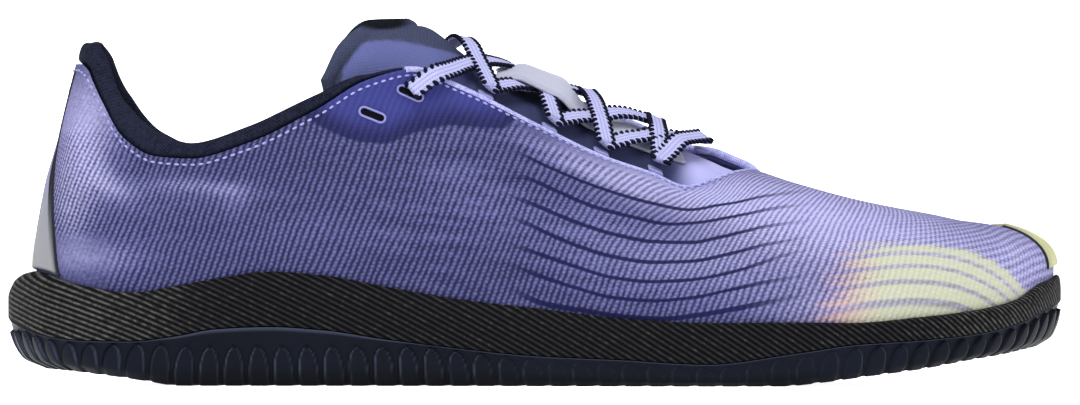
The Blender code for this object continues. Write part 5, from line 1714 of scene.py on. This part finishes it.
def build_outsole(looks):
    """The outsole: leaf-tipped lugs up its edge, running under the foot as chevrons."""
    place = full_places(780)
    _, turn = side_and_turn(place)
    edge, out = outline(place), outward(place)
    fine = np.linspace(0, 1, 801)
    way = way_along(outline(fine))
    count = int(round(way[-1] / LUG_PITCH))
    share = np.interp(turn, fine, way / way[-1]) * count
    cell = share - np.floor(share)
    off = (cell - LUG_SHARE / 2 + 0.5) % 1 - 0.5
    joint = read(BAND, "joint", turn) * SIDEWALL_HEIGHT
    under = read(EDGE, "under", turn) * HEEL_WIDTH
    bottom = edge - out * under[:, None]
    sole_z, bed_z = rises(share_of_length(bottom[:, 0]))
    raised = 1 - ramp(LUG_SHARE / 2 - 0.03, LUG_SHARE / 2 + 0.05, abs(off))
    groove = (1 - raised) * LUG_DEPTH
    tip = np.minimum(np.maximum(sole_z + FINGER_TOP, joint * 0.6), joint - 0.0012)
    # Where along the shoe the photo's shade hides the feet of the lugs, turns their tips and fades them.
    forward = share_of_length(edge[:, 0])
    shaded = between((0.10, 0.17, 0.72, 0.82), forward)
    tipped = 1 - 1.6 * ramp(0.10, 0.30, forward) + 1.2 * ramp(0.70, 0.80, forward)
    faint = 0.22 + 0.78 * (1 - between((0.40, 0.52, 0.76, 0.84), forward))
    bed, ledge = (
        shell_at_height(place, heights[:, None])[:, 0, :2] + out * FIT_GAP
        for heights in (bed_z + (joint - bed_z) * 0.45, joint)
    )
    none, full = np.zeros(len(place)), np.ones(len(place))
    rows = [level(bed, bed_z), level(ledge, joint), level(edge - out * 0.0008, joint)]
    hollow = [none, none, none]
    painted_highlight = [none, full, full]
    low = sole_z + (tip - sole_z) * 0.30
    knots = np.array([0.0, 0.34, 0.80, 1.0])
    stops = np.stack([joint, tip, low, sole_z + groove * 0.15], axis=-1)
    for t in np.linspace(0, 1, 30):
        z = np.array([np.interp(t, knots, heights) for heights in stops])
        inset_share = curve(knots, (0.0, 0.10, 0.42, 1.0), t)
        height = (z - low) / np.maximum(tip + 0.0004 - low, 1e-4)
        lean = off - LUG_LEAN * np.clip(height, -0.5, 1) * tipped
        half = LUG_HALF * np.sqrt(np.clip(1 - np.clip(height, 0, 1) ** LUG_POINT, 0, 1))
        border = half - abs(lean)
        bulge = ramp(-0.03, 0.10, border) * (1 - ramp(0.98, 1.0, height)) * faint
        rounded = LUG_RELIEF * (bulge * (1.55 + 0.7 * lean - 1.3 * lean**2) - 0.55)
        pull = min(1.0, 8 * t)
        around_it = np.exp(-(((border + 0.03) / 0.035) ** 2)) * faint * (height < 1.1)
        # Painted shade round each lug and towards the bottom of the side.
        lowest = ramp(0.55, 1.0, t) * shaded
        hollow.append(np.clip(np.where(lean < 0, 0.9, 0.6) * around_it + 0.85 * lowest, 0, 1))
        # Painted highlights on the lugs' rims, and along the joint at the top.
        rim_light = np.exp(-(((border - 0.045) / 0.030) ** 2)) * faint
        rim_light = rim_light * (height < 1) * ramp(-0.35, 0.35, height)
        seam_light = 1 - ramp(0.02, 0.05, t)
        painted_highlight.append(rim_light * np.where(lean < 0, shaded, 1 - 0.6 * shaded) + seam_light)
        rows.append(level(edge - out * (inset_share * under - rounded * pull)[:, None], z))
    mirror = outline(2 - place)
    other = mirror - outward(2 - place) * under[:, None]
    reach = np.minimum(1.0, np.linalg.norm(bottom - other, axis=1) / HEEL_WIDTH)
    middle = (bottom + other) / 2
    middle[:, 0] += CHEVRON * reach
    for t in np.linspace(0, 1, 9)[1:]:
        xy = bottom + (middle - bottom) * t
        rows.append(level(xy, rises(share_of_length(xy[:, 0]))[0] + groove * (1 if t > 0.2 else 0.6)))
        # Painted shade in the grooves under the foot, and where the side is shaded.
        hollow.append(np.maximum(groove / LUG_DEPTH, shaded * 0.8))
        painted_highlight.append(none)
    points = np.stack(rows, axis=1)
    uv = uv_map(mirrored_way(edge)[:, None], way_along(points, 1))
    fields = {"hollow": np.stack(hollow, axis=1)[:, ::-1], "edge": np.stack(painted_highlight, axis=1)[:, ::-1] * 0.7}
    rubber = rubber_finish("outsole_rubber", looks.sole_dark, looks.sole, looks.sole_edge, 0.42)
    points, uv = points[:, ::-1], uv[:, ::-1]
    sole = smooth_loft("outsole_rubber", points, uv, rubber, wrap_rows=True, fields=fields)
    seat(sole, "outsole", "outsole")


def build_insole(looks):
    """The thin footbed, its edge a little raised."""
    t = np.linspace(-1, 1, 41)
    rows = []
    for turn in np.linspace(0.004, 0.996, 150):
        pair = np.array([turn, 2 - turn])
        ends = shell(pair, [-1.0])[:, 0]
        ends[:, :2] -= outward(pair) * (UPPER_WALL + 4 * FIT_GAP)
        row = ends[0] + (ends[1] - ends[0]) * ((t + 1) / 2)[:, None]
        row[:, 2] = rises(share_of_length(row[:, 0]))[1] + FIT_GAP
        rows.append(row)
    lower = np.array(rows)
    lift = INSOLE_THICKNESS * (0.80 + 0.20 * t**4) * np.sqrt(np.clip((1.004 - abs(t)) / 0.06, 0, 1))
    upper = lower + np.array([0, 0, 1.0]) * lift[None, :, None]
    points = np.concatenate([upper, lower[:, ::-1]], axis=1)
    uv = uv_map(way_along(lower[:, 20])[:, None], points[..., 1])
    cloth = plain_cloth("footbed_cloth", looks.lining_dark, looks.footbed, 0.0016, 0.0002)
    points, uv = capped(points, points.mean(axis=1, keepdims=True), uv)
    bed = smooth_loft("footbed", points, uv, cloth, wrap_columns=True)
    turn_out(bed)
    seat(bed, "insole", "insole")


def glowing(name, roughness, specular, dark, light, strength):
    """A plain finish that gives off a little white light of its own."""
    f = Finish(name, roughness, Specular_IOR_Level=specular)
    f.colour(f.mix(f.noise(3), dark, light))
    f.shader.inputs["Emission Color"].default_value = (1, 1, 1, 1)
    f.shader.inputs["Emission Strength"].default_value = strength
    return f.material


def build_stage(looks):
    """A pale floor and backdrop, soft lights and the camera."""
    scene = bpy.context.scene
    finish = glowing("pale_floor", 0.9, 0.1, (0.90,) * 3, (0.93,) * 3, looks.floor_glow)
    span = np.linspace(-FLOOR_HALF, FLOOR_HALF, 3)
    xs, ys = np.meshgrid(span, span, indexing="ij")
    ground = np.stack([xs, ys, 0 * xs], axis=-1)
    floor = smooth_loft("studio_floor", ground, ground[..., :2], finish)
    angle = np.linspace(0, 2 * math.pi, 65)[:, None]
    xs, ys = BACKDROP_RADIUS * np.cos(angle), BACKDROP_RADIUS * np.sin(angle)
    wall = np.stack(np.broadcast_arrays(xs, ys, np.array([BACKDROP_LEVELS])), axis=-1)
    finish = glowing("white_backdrop", 1.0, 0.0, (0.9,) * 3, (0.9,) * 3, 1.0)
    backdrop = smooth_loft("studio_backdrop", wall, wall[..., :2], finish)
    world = scene.world or bpy.data.worlds.new("studio")
    scene.world = world
    world.use_nodes = True
    back = world.node_tree.nodes["Background"]
    back.inputs[0].default_value = (1, 1, 1, 1)
    back.inputs[1].default_value = looks.sky
    for name, place, aim, size in LAMPS:
        lamp = bpy.data.lights.new(name, "AREA")
        lamp.shape, lamp.size, lamp.energy = "DISK", size, getattr(looks, name)
        lamp_object = placed(name, lamp)
        lamp_object.location = place
        lamp_object.rotation_euler = (Vector(aim) - Vector(place)).to_track_quat("-Z", "Y").to_euler()
    camera = bpy.data.cameras.new("camera")
    camera.sensor_width = SENSOR
    camera.lens = SENSOR * looks.camera_distance / looks.view_width
    camera.clip_end = 40
    eye = placed("camera", camera)
    eye.location = (CAMERA_ALONG, -looks.camera_distance, CAMERA_HEIGHT)
    eye.rotation_euler = (math.pi / 2, 0, 0)
    scene.camera = eye
    scene.view_settings.view_transform = "Standard"


# The add-on's properties, operators and panel


def linear(text):
    """A colour from its six hexadecimal digits, as light."""
    parts = [int(text[k : k + 2], 16) / 255 for k in (0, 2, 4)]
    return tuple(c / 12.92 if c <= 0.04045 else ((c + 0.055) / 1.055) ** 2.4 for c in parts)


def colour_property(name, description, text):
    """A colour that the sidebar offers."""
    known = {"subtype": "COLOR", "size": 3, "min": 0, "max": 1, "default": linear(text)}
    return FloatVectorProperty(name=name, description=description, **known)


def number_property(name, description, default, **known):
    """A number that the sidebar offers."""
    return FloatProperty(name=name, description=description, default=default, **known)


def length_property(name, description, default):
    """A length that the sidebar offers."""
    return number_property(name, description, default, unit="LENGTH", precision=5, min=0.00001)


# Each colour's property, its label, what it is for and its six hexadecimal digits.
COLOURS = (
    ("knit_dark", "Knit ground", "The deep yarn of the knit", "22223f"),
    ("knit_blue", "Blue yarn", "Yarn of the darker parts of the upper", "8082be"),
    ("knit_light", "Knit lilac", "The pale yarn of the knit", "a3a5cd"),
    ("knit_violet", "Knit violet", "The pale yarn's second tone", "9790c2"),
    ("knit_mid", "Knit blue", "The throat's edge and the webbing's shade", "5f619a"),
    ("knit_smooth", "Smooth knit", "The turned-in edge of the throat", "6e70a4"),
    ("wave_blue", "Waves", "The dark waves over the forefoot", "16173a"),
    ("print_pale", "Toe print", "The pale print at the toe", "aeb08f"),
    ("print_warm", "Toe print, warm end", "The print where it fades out", "b98e7e"),
    ("print_shade", "Toe print shade", "Between the print's dots", "7d8192"),
    ("film_light", "Eyestay film", "The smooth film round the top eyelets", "2c2f68"),
    ("film_dark", "Eyestay film, low edge", "The film's deepest tone", "15173c"),
    # Painted shade for the slots' openings.
    ("slot_dark", "Slots", "Inside the slots", "06070d"),
    ("thread", "Edge stitches", "Thread along the upper's edge", "9394c4"),
    ("thread_dark", "Edge stitches shade", "The thread's dark side", "7576a6"),
    ("collar", "Collar", "The padded collar", "1d2030"),
    ("collar_dark", "Collar shade", "Between the collar's threads", "090a14"),
    ("tongue_face", "Tongue face", "Light threads of the tongue's face", "505580"),
    ("tongue_low", "Tongue face shade", "Dark threads of the tongue's face", "484d78"),
    ("tongue_band", "Tongue binding", "Light threads of the binding", "3c4156"),
    ("tongue_band_dark", "Tongue binding shade", "Dark threads of the binding", "2a2e42"),
    ("tongue_base", "Tongue base", "The smooth lilac base of the tongue", "9898c4"),
    ("lining", "Lining", "The dark cloth inside", "14161d"),
    ("lining_dark", "Lining shade", "Between the lining's threads", "07080c"),
    ("footbed", "Footbed", "The footbed's cloth", "3a3c4e"),
    ("keeper", "Lace strip", "The silvery strip under the laces", "9fa1b2"),
    ("keeper_dark", "Lace strip edge", "The strip's edges", "8e90a2"),
    ("lace_light", "Lace", "The lace's pale ribs", "999abf"),
    ("lace_gutter", "Lace gutters", "Between the lace's ribs", "6c6e9a"),
    ("lace_edge", "Lace edge", "The lace's twisted edge", "10122a"),
    ("lace_edge_dark", "Lace edge shade", "The twisted edge's dark thread", "040409"),
    ("heel_grey", "Heel panel", "The heel panel low down", "7a7b80"),
    ("heel_blue", "Heel panel top", "The heel panel near the tab", "65679c"),
    ("heel_edge", "Heel panel edge", "The panel's edge", "17181f"),
    ("lime", "Toe bumper", "The toe bumper", "a3a47c"),
    ("lime_dark", "Toe bumper shade", "The bumper higher up", "adae86"),
    ("lime_edge", "Toe bumper edge", "The bumper's rim", "8f9072"),
    # Paler flecks on the ribs, most at the heel and toe as painted highlights.
    ("rib_light", "Sidewall ribs, worn", "Worn backs of the ribs", "555452"),
    ("rib_dark", "Sidewall ribs", "The ribs' own rubber", "1d1d20"),
    # Painted shade in the grooves between the sidewall's ribs.
    ("groove", "Sidewall grooves", "Between the ribs", "030304"),
    ("sole", "Outsole", "The outsole's rubber", "0f131e"),
    ("sole_dark", "Outsole shade", "The outsole where it is clean", "06080e"),
    # Painted highlights on the lugs' rims and the outsole's top rim.
    ("sole_edge", "Outsole edges", "Worn edges of the lugs and the rim", "3a4152"),
)


class ShoeLooks(bpy.types.PropertyGroup):
    """Sizes and colours of the shoe."""

    column_pitch: length_property("Knit columns", "Distance between columns of knitted loops", 0.0016)
    row_pitch: length_property("Knit rows", "Distance between rows of knitted loops", 0.0010)
    heel_line_pitch: length_property("Heel lines", "Distance between the dark lines round the heel", 0.00115)
    rib_pitch: length_property("Sidewall ribs", "Distance between the ribs of the sidewall", 0.00125)
    camera_distance: length_property("Camera distance", "From the shoe's middle", 3.5)
    view_width: length_property("View width", "Width of the picture at the shoe", 0.2709)
    toe_row_pitch: length_property("Toe rows", "Distance between the pale rows round the toe", 0.0021)
    lace_bead_pitch: length_property("Lace edge pitch", "Between the turns of the lace's edge", 0.00200)
    knit_tone: number_property("Knit tone", "Pale yarn's share where it is least", 0.10, min=0, max=1)
    knit_contrast: number_property("Knit contrast", "How far loops stand out", 0.85, min=0, max=2)
    floor_glow: number_property("Floor glow", "Keeps the floor near white", 0.95, min=0)
    sky: number_property("Sky", "Strength of the even light", 0.22, min=0)
    overhead: number_property("Overhead light", "Its power", 26, min=0, unit="POWER")
    front: number_property("Front light", "Its power", 14, min=0, unit="POWER")
    toe_side: number_property("Toe-side light", "Its power", 8, min=0, unit="POWER")


ShoeLooks.__annotations__.update({word: colour_property(*rest) for word, *rest in COLOURS})


def piece_operator(word, label, doc, build):
    """An operator that makes one group of pieces."""

    def execute(self, context):
        build(context.scene.shoe_looks)
        return {"FINISHED"}

    known = {"__doc__": doc, "bl_idname": "shoe." + word, "bl_label": label, "execute": execute}
    return type("SHOE_OT_" + word, (bpy.types.Operator,), {**known, "bl_options": {"REGISTER", "UNDO"}})


PIECES = (
    ("outsole", "Outsole", "Make the outsole with its lugs", build_outsole),
    ("sidewall", "Sidewall", "Make the ribbed sidewall", build_sidewall),
    ("upper", "Upper", "Make the knitted upper and its lining", build_upper),
    ("throat", "Throat edge", "Make the throat's rolled edge and the slots' rims", build_throat),
    ("collar", "Collar", "Make the padded collar", build_collar),
    ("stitches", "Edge stitches", "Make the stitches along the upper's edge", build_rim_stitches),
    ("tongue", "Tongue", "Make the padded tongue with its bound edge", build_tongue),
    ("keeper", "Lace strip", "Make the strip under the laces", build_keeper),
    ("laces", "Laces", "Make the lace, its edges and its loops", build_laces),
    ("overlays", "Overlays", "Make the heel panel and the toe bumper", build_overlays),
    ("insole", "Footbed", "Make the footbed", build_insole),
    ("stage", "Stage", "Make the floor, lights and camera", build_stage),
)
OPERATORS = [piece_operator(*row) for row in PIECES]


class SHOE_PT_panel(bpy.types.Panel):
    """Lists the shoe's pieces and their sizes and colours."""

    bl_label = "Barefoot Shoe"
    bl_idname = "SHOE_PT_panel"
    bl_space_type = "VIEW_3D"
    bl_region_type = "UI"
    bl_category = "Shoe"

    def draw(self, context):
        looks = context.scene.shoe_looks
        for operator in OPERATORS:
            self.layout.operator(operator.bl_idname)
        for name in ShoeLooks.__annotations__:
            self.layout.prop(looks, name)


def register():
    for kind in (ShoeLooks, *OPERATORS, SHOE_PT_panel):
        bpy.utils.register_class(kind)
    bpy.types.Scene.shoe_looks = PointerProperty(type=ShoeLooks)


def unregister():
    del bpy.types.Scene.shoe_looks
    for kind in (SHOE_PT_panel, *OPERATORS[::-1], ShoeLooks):
        bpy.utils.unregister_class(kind)


def main():
    register()
    for word, *_ in PIECES:
        getattr(bpy.ops.shoe, word)()


if __name__ == "__main__":
    main()
